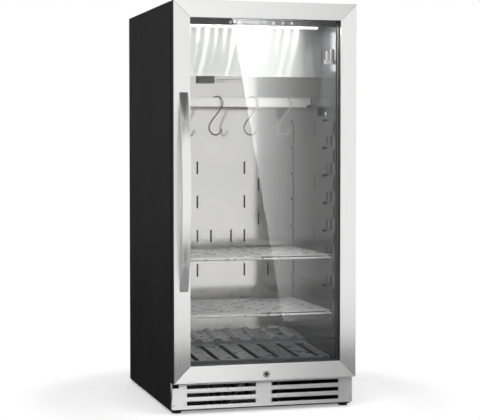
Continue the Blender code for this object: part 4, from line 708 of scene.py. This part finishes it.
@dataclass
class Viewpoint:
    """The photograph's camera."""

    place: Place = (-1.2849, -4.7459, 0.8420)
    yaw: float = 0.2655
    pitch: float = 0.0443
    focal_px: float = 1464.86
    width_px: float = 480.0
    height_px: float = 420.0
    sensor: float = 36.0
    far_clip: float = 100.0

    def build(self) -> None:
        """Makes the camera and sets it as the scene's own."""
        data = bpy.data.cameras.new("viewpoint")
        data.sensor_width = self.sensor
        data.lens = self.focal_px / self.width_px * self.sensor
        data.clip_end = self.far_clip
        camera = bpy.data.objects.new("viewpoint", data)
        camera.location = self.place
        camera.rotation_euler = (math.pi / 2 - self.pitch, 0, -self.yaw)
        bpy.context.scene.collection.objects.link(camera)
        bpy.context.scene.camera = camera

    def on_plane(self, pixel: Numbers, y: float) -> Vector:
        """Where a pixel's line of sight meets an upright plane.

        Args:
            pixel: the pixel, in the photograph's frame.
            y: the plane's place.

        Returns:
            The point.
        """
        level = math.cos(self.pitch)
        across = Vector((math.cos(self.yaw), -math.sin(self.yaw), 0))
        ahead = Vector(
            (math.sin(self.yaw) * level, math.cos(self.yaw) * level, -math.sin(self.pitch))
        )
        right, down = pixel[0] - self.width_px / 2, pixel[1] - self.height_px / 2
        sight = ahead * self.focal_px + across * right - across.cross(ahead) * down
        start = Vector(self.place)
        return start + sight * ((y - start.y) / sight.y)


@dataclass
class Backdrop:
    """A white world, with darker flags in what metal mirrors and a softer fill for the rest.

    A span is in the parts of a unit vector, and a slant is X over -Y. Each ramp rises from the
    first number of its span to the second.
    """

    white: float = 1.0
    fill: float = 0.42
    ahead: Span = (0.1, 0.4)
    slant_floor: float = 0.05
    flag_from: Span = (0.28, 0.44)
    flag_to: Span = (0.80, 0.66)
    flag_dip: float = 0.90
    strip_from: Span = (0.22, 0.46)
    strip_to: Span = (0.62, 0.48)
    strip_dip: float = 0.45
    bright_from: Span = (0.52, 0.70)
    bright_to: Span = (1.6, 1.1)
    bright_rise: float = 0.35
    behind: Span = (0.2, 0.5)
    left: Span = (0.25, 0.05)
    rear_level: float = 0.085

    def build(self) -> None:
        """Makes the world."""
        made = bpy.data.worlds.new("studio")
        made.use_nodes = True
        sky = Graph(made.node_tree)
        right, back, rise = sky.axes(sky.node("TexCoord").outputs["Generated"])
        forward = sky.product(back, -1.0)
        slant = sky.sum("DIVIDE", right, sky.sum("MAXIMUM", forward, self.slant_floor))
        ahead = sky.ramp(forward, self.ahead)
        level = self.white
        for value, start, end, dip in (
            (rise, self.flag_from, self.flag_to, self.flag_dip),
            (slant, self.strip_from, self.strip_to, self.strip_dip),
            (slant, self.bright_from, self.bright_to, -self.bright_rise),
        ):
            mask = sky.product(sky.ramp(value, start), sky.ramp(value, end))
            level = sky.shaded(level, sky.product(mask, ahead), dip)
        rear = sky.product(sky.ramp(back, self.behind), sky.ramp(right, self.left))
        level = sky.mixed(rear, level, self.rear_level)
        path = sky.node("LightPath").outputs
        level = sky.mixed(path["Is Glossy Ray"], self.fill, level)
        plain = sky.sum("MAXIMUM", path["Is Camera Ray"], path["Is Transmission Ray"])
        level = sky.mixed(plain, level, self.white)
        background = made.node_tree.nodes["Background"].inputs
        sky.feed((*WHITE, 1), background["Color"])
        sky.feed(level, background["Strength"])
        bpy.context.scene.world = made


@dataclass
class Floor:
    """The pale floor. The camera sees it lifted to white, and it keeps the cabinet's shadow."""

    half: float = 6.0
    near: float = -2.6
    drop: float = 0.0004
    level: float = 0.80
    roughness: float = 0.9
    lift: float = 0.34
    turn: Span = (-1.45, -2.1)
    near_in_metal: float = 0.24
    far_in_metal: float = 0.80
    behind: Span = (-0.35, -0.15)
    left: Span = (0.2, -0.2)
    in_paint: float = 0.012
    shadow_reach: Span = (0.44, 0.76)

    def build(self) -> None:
        """Makes the slab and its material."""
        low = (-self.half, self.near, -self.drop * 2)
        slab = Bench.box("floor", low, (self.half, self.half, -self.drop))
        recipe = Recipe("pale_floor")
        path = recipe.node("LightPath").outputs
        across, depth, _ = recipe.axes(recipe.place())
        front = recipe.ramp(depth, self.turn)
        mirrored = recipe.mixed(front, self.near_in_metal, self.far_in_metal)
        rear = recipe.product(recipe.ramp(depth, self.behind), recipe.ramp(across, self.left))
        mirrored = recipe.mixed(rear, mirrored, self.in_paint)
        reach = recipe.node("VectorMath", {0: recipe.place()}, operation="LENGTH")
        far = recipe.ramp(reach.outputs["Value"], self.shadow_reach)
        seen = path["Is Camera Ray"]
        recipe.put({
            "Base Color": recipe.mixed(path["Is Glossy Ray"], self.level, mirrored),
            "Roughness": self.roughness, "Specular IOR Level": 0.0,
        })
        recipe.glow(WHITE, recipe.product(seen, recipe.mixed(far, self.lift, 0.0)))
        recipe.blend(recipe.product(seen, far), recipe.node("Emission"))
        slab.data.materials.append(recipe.material)


@dataclass
class SlantedBox:
    """A tall slanted soft box that shows only as a reflection in the outer pane."""

    view: Viewpoint
    y: float = -2.6
    corners_px: tuple[Span, ...] = ((232, 18), (322, 18), (317, 366), (291, 366))
    cells: tuple[int, int] = (8, 20)
    middle: float = 0.5
    strength: float = 54.0
    fall: float = 2.1
    side: float = 1.5

    def build(self, pane: Object) -> None:
        """Makes the box, where the camera sees it mirrored between four pixels.

        Args:
            pane: the pane that mirrors it.
        """
        pane_y = front_of(pane)
        eye = Vector(self.view.place)
        eye.y = 2 * pane_y - eye.y
        sights = [self.view.on_plane(pixel, pane_y) - eye for pixel in self.corners_px]
        corners = [eye + sight * ((self.y - eye.y) / sight.y) for sight in sights]
        wide, tall = self.cells
        bpy.ops.mesh.primitive_grid_add(
            x_subdivisions=wide, y_subdivisions=tall, size=2 * self.middle
        )
        card = Bench.named("slanted_soft_box")
        for vertex in card.data.vertices:
            across, down = vertex.co.x + self.middle, self.middle - vertex.co.y
            upper = corners[0].lerp(corners[1], across)
            vertex.co = upper.lerp(corners[3].lerp(corners[2], across), down)
        card.data.materials.append(self.cloth(card.data.uv_layers[0].name))
        for kind in ("camera", "diffuse", "transmission", "shadow"):
            setattr(card, f"visible_{kind}", False)
        link_light((card,), Reach.ONLY, (pane,))

    def cloth(self, uv_map: str) -> Material:
        """The clear, glowing material, which fades downwards and to its right.

        Args:
            uv_map: the name of the box's UV map.

        Returns:
            The material.
        """
        recipe = Recipe("soft_box_cloth")
        across, rise, _ = recipe.axes(recipe.node("UVMap", uv_map=uv_map).outputs["UV"])
        drop = recipe.sum("EXPONENT", recipe.sum("MULTIPLY_ADD", rise, self.fall, -self.fall))
        side = recipe.sum("POWER", recipe.remap(across, UNIT_SPAN, UNIT_SPAN[::-1]), self.side)
        level = recipe.product(recipe.product(drop, side), self.strength)
        glow = recipe.node("Emission", {"Strength": level}).outputs[0]
        both = recipe.node("AddShader", {0: glow, 1: recipe.node("BsdfTransparent").outputs[0]})
        recipe.feed(both.outputs[0], recipe.surface)
        return recipe.material


@dataclass(frozen=True)
class SoftLamp:
    """A square soft box on a stand."""

    name: str
    place: Place
    target: Place
    size: float
    power: float

    def build(self, mirrored: bool = False) -> Object:
        """Makes the lamp, turned to its target.

        Args:
            mirrored: whether metal mirrors it.

        Returns:
            The lamp.
        """
        lamp = add_lamp(self.name, "AREA", self.place, self.power, size=self.size)
        way = Vector(self.target) - Vector(self.place)
        lamp.rotation_euler = way.to_track_quat("-Z", "Y").to_euler()
        lamp.visible_glossy = mirrored
        return lamp


@dataclass
class Studio:
    """The backdrop, the floor and the soft lamps."""

    view: Viewpoint
    low: SoftLamp = SoftLamp("lamp_low", (0.30, -3.2, 1.5), (0.0, -0.34, 0.1), 1.3, 24.0)
    lamps: tuple[SoftLamp, ...] = (
        SoftLamp("lamp_over", (0.0, -0.9, 3.4), (0.0, 0.1, 0.4), 2.6, 62.0),
        SoftLamp("lamp_left", (-3.2, -3.0, 1.9), (0.0, 0.0, 0.7), 1.8, 52.0),
        SoftLamp("lamp_right", (3.0, -2.6, 1.6), (0.0, 0.0, 0.7), 1.6, 34.0),
        SoftLamp("lamp_rear", (0.8, 3.6, 2.4), (0.0, 0.0, 0.7), 2.0, 26.0),
    )

    def build(self, pane: Object, duct: Object, low_pieces: Sequence[Object]) -> None:
        """Lights the scene.

        Args:
            pane: the glass that shows the tall soft box beside the camera.
            duct: the cover that only mirrors, so that the soft lamps don't show on it.
            low_pieces: the steel near the floor, which mirrors a soft box of its own.
        """
        bpy.context.scene.view_settings.view_transform = "Standard"
        Backdrop().build()
        Floor().build()
        link_light([lamp.build() for lamp in self.lamps], Reach.ALL_BUT, (duct,))
        link_light((self.low.build(mirrored=True),), Reach.ONLY, low_pieces)
        SlantedBox(self.view).build(pane)


SATIN_BLACK = Finish(
    "satin_black_paint", (0.020, 0.020, 0.021), 0.42, specular=0.3, mottle_size=0.3
)
DARK_STEEL = Finish("black_coated_steel", (0.024, 0.024, 0.025), 0.5, specular=0.3)
LINER_PLASTIC = Finish(
    "moulded_liner", (0.018, 0.019, 0.020), 0.18, specular=0.28, grain_size=0.0012,
    grain_depth=0.000004,
)
RACK_PLASTIC = Finish(
    "moulded_rack", (0.110, 0.113, 0.118), 0.30, grain_size=0.0012, grain_depth=0.000008
)
BLACK_PLASTIC = Finish("black_plastic", (0.022, 0.022, 0.024), 0.40)
LAMP_PLASTIC = Finish("lamp_hood_plastic", (0.24, 0.245, 0.25), 0.40)
WHITE_PLASTIC = Finish("white_plastic", (0.80, 0.80, 0.78), 0.35)
FOAM = Finish(
    "rigid_foam", (0.72, 0.64, 0.44), 0.9, specular=0.2, grain_size=0.004, grain_depth=0.0006
)
RUBBER = Finish("black_rubber", (0.020, 0.020, 0.020), 0.68, specular=0.2, grain_size=0.0006)
BUSH = Finish("bush_polymer", (0.55, 0.52, 0.44), 0.5)
ALUMINIUM = Finish(
    "mill_aluminium", (0.66, 0.67, 0.68), 0.36, 1.0, grain_size=0.002, grain_depth=0.00002
)
SPACER = Finish("dark_spacer", (0.16, 0.16, 0.165), 0.42, 1.0)
SHELF_WIRE = Finish("plated_shelf_wire", (0.74, 0.74, 0.73), 0.30, 0.6)
HOOK_WIRE = Finish("hook_wire", (0.78, 0.78, 0.77), 0.20, 0.7, grain_depth=0.000004)
RAIL_UPRIGHT = BrushedSteel("steel_brushed_upright", Brush.UPRIGHT, (0.86, 0.86, 0.855), 0.24)
RAIL_ACROSS = BrushedSteel(
    "steel_brushed_across", Brush.ACROSS, (0.95, 0.95, 0.945), 0.17, gloss_spread=0.02
)
KICK_STEEL = BrushedSteel("kick_plate_steel", Brush.ACROSS, (0.96, 0.96, 0.955), 0.50)
DUCT_STEEL = BrushedSteel(
    "duct_steel", Brush.ACROSS, (0.88, 0.895, 0.88), 0.30, gloss_spread=0.02, glint_share=0.5
)
PANEL_STEEL = PolishedMetal("air_panel_steel", (0.69, 0.685, 0.67), 0.11, 0.03, 0.12, 0.0006)
BAR_STEEL = PolishedMetal("hanging_bar_steel", (0.98, 0.97, 0.95), 0.40, 0.05, 0.05, 0.00006)
UNDER_STEEL = PolishedMetal("duct_underside_steel", (0.90, 0.89, 0.86), 0.10, 0.04, 0.04, 0.0002)
CHROME = PolishedMetal("plated_wire")
GLASS = ClearPane("coated_glass", (0.985, 0.985, 0.985))
LENS = ClearPane(
    "lamp_lens", WHITE, 1.08, 0.98, glow_colour=(1.0, 0.99, 0.96), glow_strength=1.3,
    glow_rise=(1.2155, 1.2172),
)
CHIP = Glow("lamp_chip", (1.0, 0.985, 0.95), 12.0)
KEY_GLOW = Glow("key_glow", (0.85, 0.90, 1.0), 0.7)
DISPLAY_GLOW = Glow("display_glow", (0.88, 0.93, 1.0), 1.6)


@dataclass
class SubAssembly:
    """A part of the cabinet, with what dresses it."""

    dresser: Dresser


@dataclass
class CabinetShell(SubAssembly):
    """The black skins, the folded base, the foam and the feet."""

    edge: float = 0.0006
    foot_edge: float = 0.0008

    def build(self) -> None:
        """Rounds the edges that show and dresses the rest."""
        skins = ("side_panel_left", "side_panel_right", "top_panel")
        feet = [f"foot_{end}_{side}" for end in ("front", "rear") for side in ("left", "right")]
        self.dresser.round_off(SATIN_BLACK, self.edge, *skins)
        self.dresser.round_off(DARK_STEEL, self.edge, "rear_panel", "machine_cover", "base_frame")
        self.dresser.round_off(RUBBER, self.foot_edge, *feet)
        self.dresser.keep(FOAM, "foam_left", "foam_right", "foam_top", "foam_back")


@dataclass
class Cavity(SubAssembly):
    """The moulded liner, the air panel and the small bracket on the wall."""

    edge: float = 0.0009
    bracket_edge: float = 0.0008
    plug_low: Place = (0.2432, -0.1925, 0.9375)
    plug_high: Place = (0.2453, -0.1825, 0.9505)

    def build(self) -> Object:
        """Rounds the mouldings, dresses the panel and adds the white plug in the right wall.

        Returns:
            The right wall's liner.
        """
        wall = self.dresser.round_off(LINER_PLASTIC, self.edge, "liner_right")[0]
        rest = ("liner_left", "liner_ceiling", "liner_floor")
        self.dresser.round_off(LINER_PLASTIC, self.edge, *rest)
        self.dresser.keep(PANEL_STEEL, "air_panel")
        self.dresser.round_off(WHITE_PLASTIC, self.bracket_edge, "wall_bracket")
        plug = Bench.box("wall_plug", self.plug_low, self.plug_high)
        Bench.soften(plug, self.bracket_edge)
        self.dresser.add(plug, WHITE_PLASTIC, "cabinet", "white_plastic")
        return wall


@dataclass
class AirDuct(SubAssembly):
    """The duct cover with the lamp under it, and the cooling parts behind."""

    edge: float = 0.0005
    underside: float = 0.9

    def build(self) -> Object:
        """Dresses the cover and what it hides.

        Returns:
            The cover.
        """
        cover = self.dresser.round_off(DUCT_STEEL, self.edge, "duct_cover")[0]
        self.dresser.dress(cover, DUCT_STEEL, UNDER_STEEL)
        for face in cover.data.polygons:
            face.material_index = int(face.normal.z < -self.underside)
        self.dresser.round_off(LAMP_PLASTIC, self.edge, "uv_lamp")
        self.dresser.round_off(BLACK_PLASTIC, self.edge, "fan_frame", "evaporator_fan")
        self.dresser.keep(ALUMINIUM, "evaporator")
        return cover


@dataclass
class LightStrip(SubAssembly):
    """The aluminium channel with its row of light chips and the lens over them."""

    chip_pitch: float = 0.0303
    chip_side: float = 0.0050
    chip_height: float = 0.0012
    chip_edge: float = 0.0004
    edge: float = 0.0004
    strip_power: float = 7.0
    chip_power: float = 0.17
    chip_glow: float = 0.0050
    glint_gap: float = 0.050
    wall_power: float = 0.055
    wall_low: Span = (0.186, 1.085)
    wall_high: Span = (0.214, 1.212)
    wall_gap: float = 0.004

    def light(self, duct: Object, places: Sequence[Vector], length: float) -> None:
        """The light of the strip, and the sharp glints that its chips make on the duct.

        Args:
            duct: the brushed cover that shows the glints.
            places: where the chips' light comes from, as the cover shows it.
            length: the strip's length.
        """
        strip = add_lamp(
            "strip_light", "AREA", sum(places, Vector()) / len(places), self.strip_power,
            shape="RECTANGLE", size=length, size_y=self.chip_side,
        )
        link_light((strip,), Reach.ALL_BUT, (duct,))
        glow = {"shadow_soft_size": self.chip_glow}
        chips = [
            add_lamp(f"chip_light_{number}", "POINT", place, self.chip_power, **glow)
            for number, place in enumerate(places, 1)
        ]
        link_light(chips, Reach.ONLY, (duct,))

    def light_wall(self, duct: Object, wall: Object) -> None:
        """The lit cover as the right wall mirrors it.

        Args:
            duct: the cover.
            wall: the liner of the right wall.
        """
        (left, bottom), (right, top) = self.wall_low, self.wall_high
        place = ((left + right) / 2, front_of(duct) - self.wall_gap, (bottom + top) / 2)
        lamp = add_lamp(
            "wall_glint", "AREA", place, self.wall_power, shape="RECTANGLE",
            size=right - left, size_y=top - bottom,
        )
        lamp.rotation_euler = (-math.pi / 2, 0, 0)
        link_light((lamp,), Reach.ONLY, (wall,))

    def build(self, duct: Object) -> None:
        """Builds the chips inside the lens, and lights them.

        Args:
            duct: the cover behind the strip.
        """
        self.dresser.round_off(ALUMINIUM, self.edge, "light_bar")
        self.dresser.keep(LENS, "light_lens")
        low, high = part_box("light_lens")
        middle = (low.y + high.y) / 2
        count = int((high.x - low.x) / self.chip_pitch)
        first = (low.x + high.x - (count - 1) * self.chip_pitch) / 2
        half, top = self.chip_side / 2, high.z - BURY
        chip = Bench.box(
            "light_chips", (first - half, middle - half, top - self.chip_height),
            (first + half, middle + half, top),
        )
        Bench.soften(chip, self.chip_edge, Rounding.CHAMFER)
        Bench.apply(
            chip, "ARRAY", count=count, use_relative_offset=False, use_constant_offset=True,
            constant_offset_displace=(self.chip_pitch, 0, 0), use_merge_vertices=False,
        )
        self.dresser.add(chip, CHIP, "cabinet", "lens")
        glint, lower = front_of(duct) - self.glint_gap, top - self.chip_height - self.chip_edge
        places = [Vector((first + step * self.chip_pitch, glint, lower)) for step in range(count)]
        self.light(duct, places, high.x - low.x)


@dataclass
class ControlStrip(SubAssembly):
    """The dark strip with the touch keys and the display."""

    edge: float = 0.0005
    print_y: float = -0.2777
    print_thick: float = 0.0003
    print_edge: float = 0.0001
    middle_z: float = 1.2279
    keys: tuple[float, ...] = (-0.101, -0.071, -0.040, 0.040, 0.071, 0.100)
    key_radius: float = 0.0032
    stroke: float = 0.0014
    ring_sides: tuple[int, int] = (20, 6)
    digit_size: Span = (0.0066, 0.0090)
    digits: tuple[tuple[float, str], ...] = ((-0.0215, "abdeg"), (-0.0115, "acdfg"))
    unit_x: float = 0.0125
    unit_strokes: str = "adef"
    unit_radius: float = 0.0014

    def bar(self, x: float, z: float, width: float, height: float) -> Object:
        """A raised stroke, centred on a point."""
        low = (x - width / 2, self.print_y - self.print_thick, z - height / 2)
        return Bench.box("stroke", low, (x + width / 2, self.print_y + BURY, z + height / 2))

    def ring(self, x: float, z: float, radius: float) -> Object:
        """A raised ring around a point.

        Args:
            x: the ring's middle across the strip.
            z: its middle's height.
            radius: its radius.

        Returns:
            The ring.
        """
        around, through = self.ring_sides
        bpy.ops.mesh.primitive_torus_add(
            location=(x, self.print_y, z), rotation=(math.pi / 2, 0, 0), major_segments=around,
            minor_segments=through, major_radius=radius, minor_radius=self.stroke / 2,
        )
        return Bench.named("ring")

    def digit(self, x: float, lit: str) -> list[Object]:
        """The lit strokes of one digit.

        Args:
            x: its middle.
            lit: the letters of the strokes, a at the top, then clockwise to f, and g in the middle.

        Returns:
            The strokes.
        """
        wide, tall = (size - self.stroke for size in self.digit_size)
        across, upright = (wide - self.stroke, self.stroke), (self.stroke, tall / 2 - self.stroke)
        places = {
            "a": (0, 2, across), "b": (1, 1, upright), "c": (1, -1, upright),
            "d": (0, -2, across), "e": (-1, -1, upright), "f": (-1, 1, upright),
            "g": (0, 0, across),
        }
        return [
            self.bar(x + side * wide / 2, self.middle_z + rise * tall / 4, *size)
            for side, rise, size in (places[key] for key in lit)
        ]

    def build(self) -> None:
        """Rounds the strip, and puts the keys and the lit display on it."""
        self.dresser.round_off(BLACK_PLASTIC, self.edge, "control_panel")
        keys = []
        for number, x in enumerate(self.keys):
            keys.append(self.ring(x, self.middle_z, self.key_radius))
            tall = self.key_radius * (1 + number % 2)
            z = self.middle_z + self.key_radius / 2 * (number % 3 - 1)
            keys.append(self.bar(x, z, self.stroke, tall))
        lit = [stroke for x, letters in self.digits for stroke in self.digit(x, letters)]
        ring_x = self.unit_x - self.digit_size[0] / 2
        lit.append(self.ring(ring_x, self.middle_z + self.key_radius, self.unit_radius))
        lit += self.digit(self.unit_x + self.unit_radius, self.unit_strokes)
        for name, strokes, glow in (
            ("touch_keys", keys, KEY_GLOW), ("display_strokes", lit, DISPLAY_GLOW)
        ):
            raised = Bench.join(strokes, name)
            Bench.soften(raised, self.print_edge, Rounding.CHAMFER)
            self.dresser.add(raised, glow, "cabinet", "lens")


@dataclass
class HangingGear(SubAssembly):
    """The hanging bar, its brackets and the hooks."""

    bracket_edge: float = 0.0008

    def build(self) -> None:
        """Dresses the bar and the hooks, and rounds the bar's brackets."""
        brackets = ("bar_bracket_left", "bar_bracket_right")
        self.dresser.keep(BAR_STEEL, "hanging_bar")
        self.dresser.round_off(LINER_PLASTIC, self.bracket_edge, *brackets)
        self.dresser.keep(HOOK_WIRE, "hook_left", "hook_middle", "hook_right")


@dataclass
class Shelving(SubAssembly):
    """The wire shelves and the corrugated rack."""

    rack_edge: float = 0.0006

    def build(self) -> None:
        """Dresses the shelves and rounds the rack."""
        self.dresser.keep(SHELF_WIRE, "shelf_upper", "shelf_lower")
        self.dresser.round_off(RACK_PLASTIC, self.rack_edge, "bottle_rack")


@dataclass
class Door(SubAssembly):
    """The steel door with its glass, handle, seal and lock."""

    rail_edge: float = 0.0007
    core_edge: float = 0.0005
    ring_edge: float = 0.0004

    def build(self) -> Object:
        """Dresses the door's pieces.

        Returns:
            The bottom rail.
        """
        upright = ("door_rail_left", "door_rail_right", "door_handle")
        fittings = ("lock_ring", "lock_keeper", "hinge_upper", "hinge_lower")
        self.dresser.round_off(RAIL_UPRIGHT, self.rail_edge, *upright)
        self.dresser.round_off(RAIL_ACROSS, self.rail_edge, "door_rail_top")
        rail = self.dresser.round_off(KICK_STEEL, self.rail_edge, "door_rail_bottom")[0]
        self.dresser.round_off(BLACK_PLASTIC, self.core_edge, "door_core")
        self.dresser.round_off(RUBBER, self.core_edge, "door_gasket")
        self.dresser.keep(GLASS, "glass_outer", "glass_inner")
        self.dresser.keep(SPACER, "glass_spacer")
        self.dresser.round_off(CHROME, self.ring_edge, *fittings)
        self.dresser.round_off(DARK_STEEL, self.ring_edge, "lock_barrel")
        self.dresser.keep(BUSH, "bush_upper", "bush_lower")
        return rail


@dataclass
class KickGrille(SubAssembly):
    """The stainless kick plate with its louvred windows, its screws and a rivet."""

    edge: float = 0.0005
    screws: tuple[Span, ...] = ((-0.2915, 0.0272), (0.2915, 0.0885), (0.2915, 0.0278))
    head_radius: float = 0.0026
    head_thick: float = 0.0013
    head_round: float = 0.0008
    head_sides: int = 24
    slot_length: float = 0.0030
    slot_width: float = 0.0007
    slot_depth: float = 0.0007
    rivet: Span = (-0.2579, 0.0262)
    rivet_radius: float = 0.0030
    rivet_thick: float = 0.0006
    rivet_round: float = 0.9

    def screw(self, name: str, x: float, y: float, z: float) -> Object:
        """A domed screw head with a cross in it.

        Args:
            name: its name.
            x: its middle across the plate.
            y: the plate's face.
            z: its middle's height.

        Returns:
            The head.
        """
        front = y - self.head_thick
        head = Bench.rod(name, (x, y + BURY, z), (x, front, z), self.head_radius, self.head_sides)
        Bench.soften(head, self.head_round, Rounding.DOME)
        long, short = self.slot_length / 2, self.slot_width / 2
        for wide, tall in ((long, short), (short, long)):
            low = (x - wide, front - BURY, z - tall)
            cutter = Bench.box("cutter", low, (x + wide, front + self.slot_depth, z + tall))
            Bench.apply(head, "BOOLEAN", operation="DIFFERENCE", object=cutter, solver="EXACT")
            bpy.data.objects.remove(cutter)
        return head

    def build(self) -> Object:
        """Rounds the plate and puts its screws and its rivet on it.

        Returns:
            The plate.
        """
        plate = self.dresser.round_off(KICK_STEEL, self.edge, "kick_grille")[0]
        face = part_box("kick_grille")[0].y
        for number, (x, z) in enumerate(self.screws, 1):
            head = self.screw(f"grille_screw_{number}", x, face, z)
            self.dresser.add(head, CHROME, "cabinet", "chrome")
        x, z = self.rivet
        start, end = (x, face + BURY, z), (x, face - self.rivet_thick, z)
        rivet = Bench.rod("grille_rivet", start, end, self.rivet_radius, self.head_sides)
        Bench.soften(rivet, self.rivet_thick * self.rivet_round, Rounding.DOME)
        self.dresser.add(rivet, KICK_STEEL, "cabinet", "brushed_stainless")
        return plate


@dataclass
class CoolingMachine(SubAssembly):
    """The compressor, the condenser, the tray and the inlet in the base."""

    edge: float = 0.0006

    def build(self) -> None:
        """Dresses the machine's pieces."""
        plastics = ("condenser_fan", "drip_tray", "power_inlet")
        self.dresser.round_off(SATIN_BLACK, self.edge, "compressor")
        self.dresser.keep(ALUMINIUM, "condenser")
        self.dresser.round_off(BLACK_PLASTIC, self.edge, *plastics)


def main() -> None:
    """Builds the studio and every sub-assembly in turn."""
    logging.basicConfig(level=logging.INFO, format="%(message)s")
    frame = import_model()
    view = Viewpoint()
    view.build()
    dresser = Dresser(frame)
    duct = AirDuct(dresser).build()
    strip = LightStrip(dresser)
    strip.build(duct)
    strip.light_wall(duct, Cavity(dresser).build())
    low_pieces = (Door(dresser).build(), KickGrille(dresser).build())
    for part in (CabinetShell, ControlStrip, HangingGear, Shelving, CoolingMachine):
        part(dresser).build()
    Studio(view).build(frame["nodes"]["glass_outer"], duct, low_pieces)


if __name__ == "__main__":
    main()
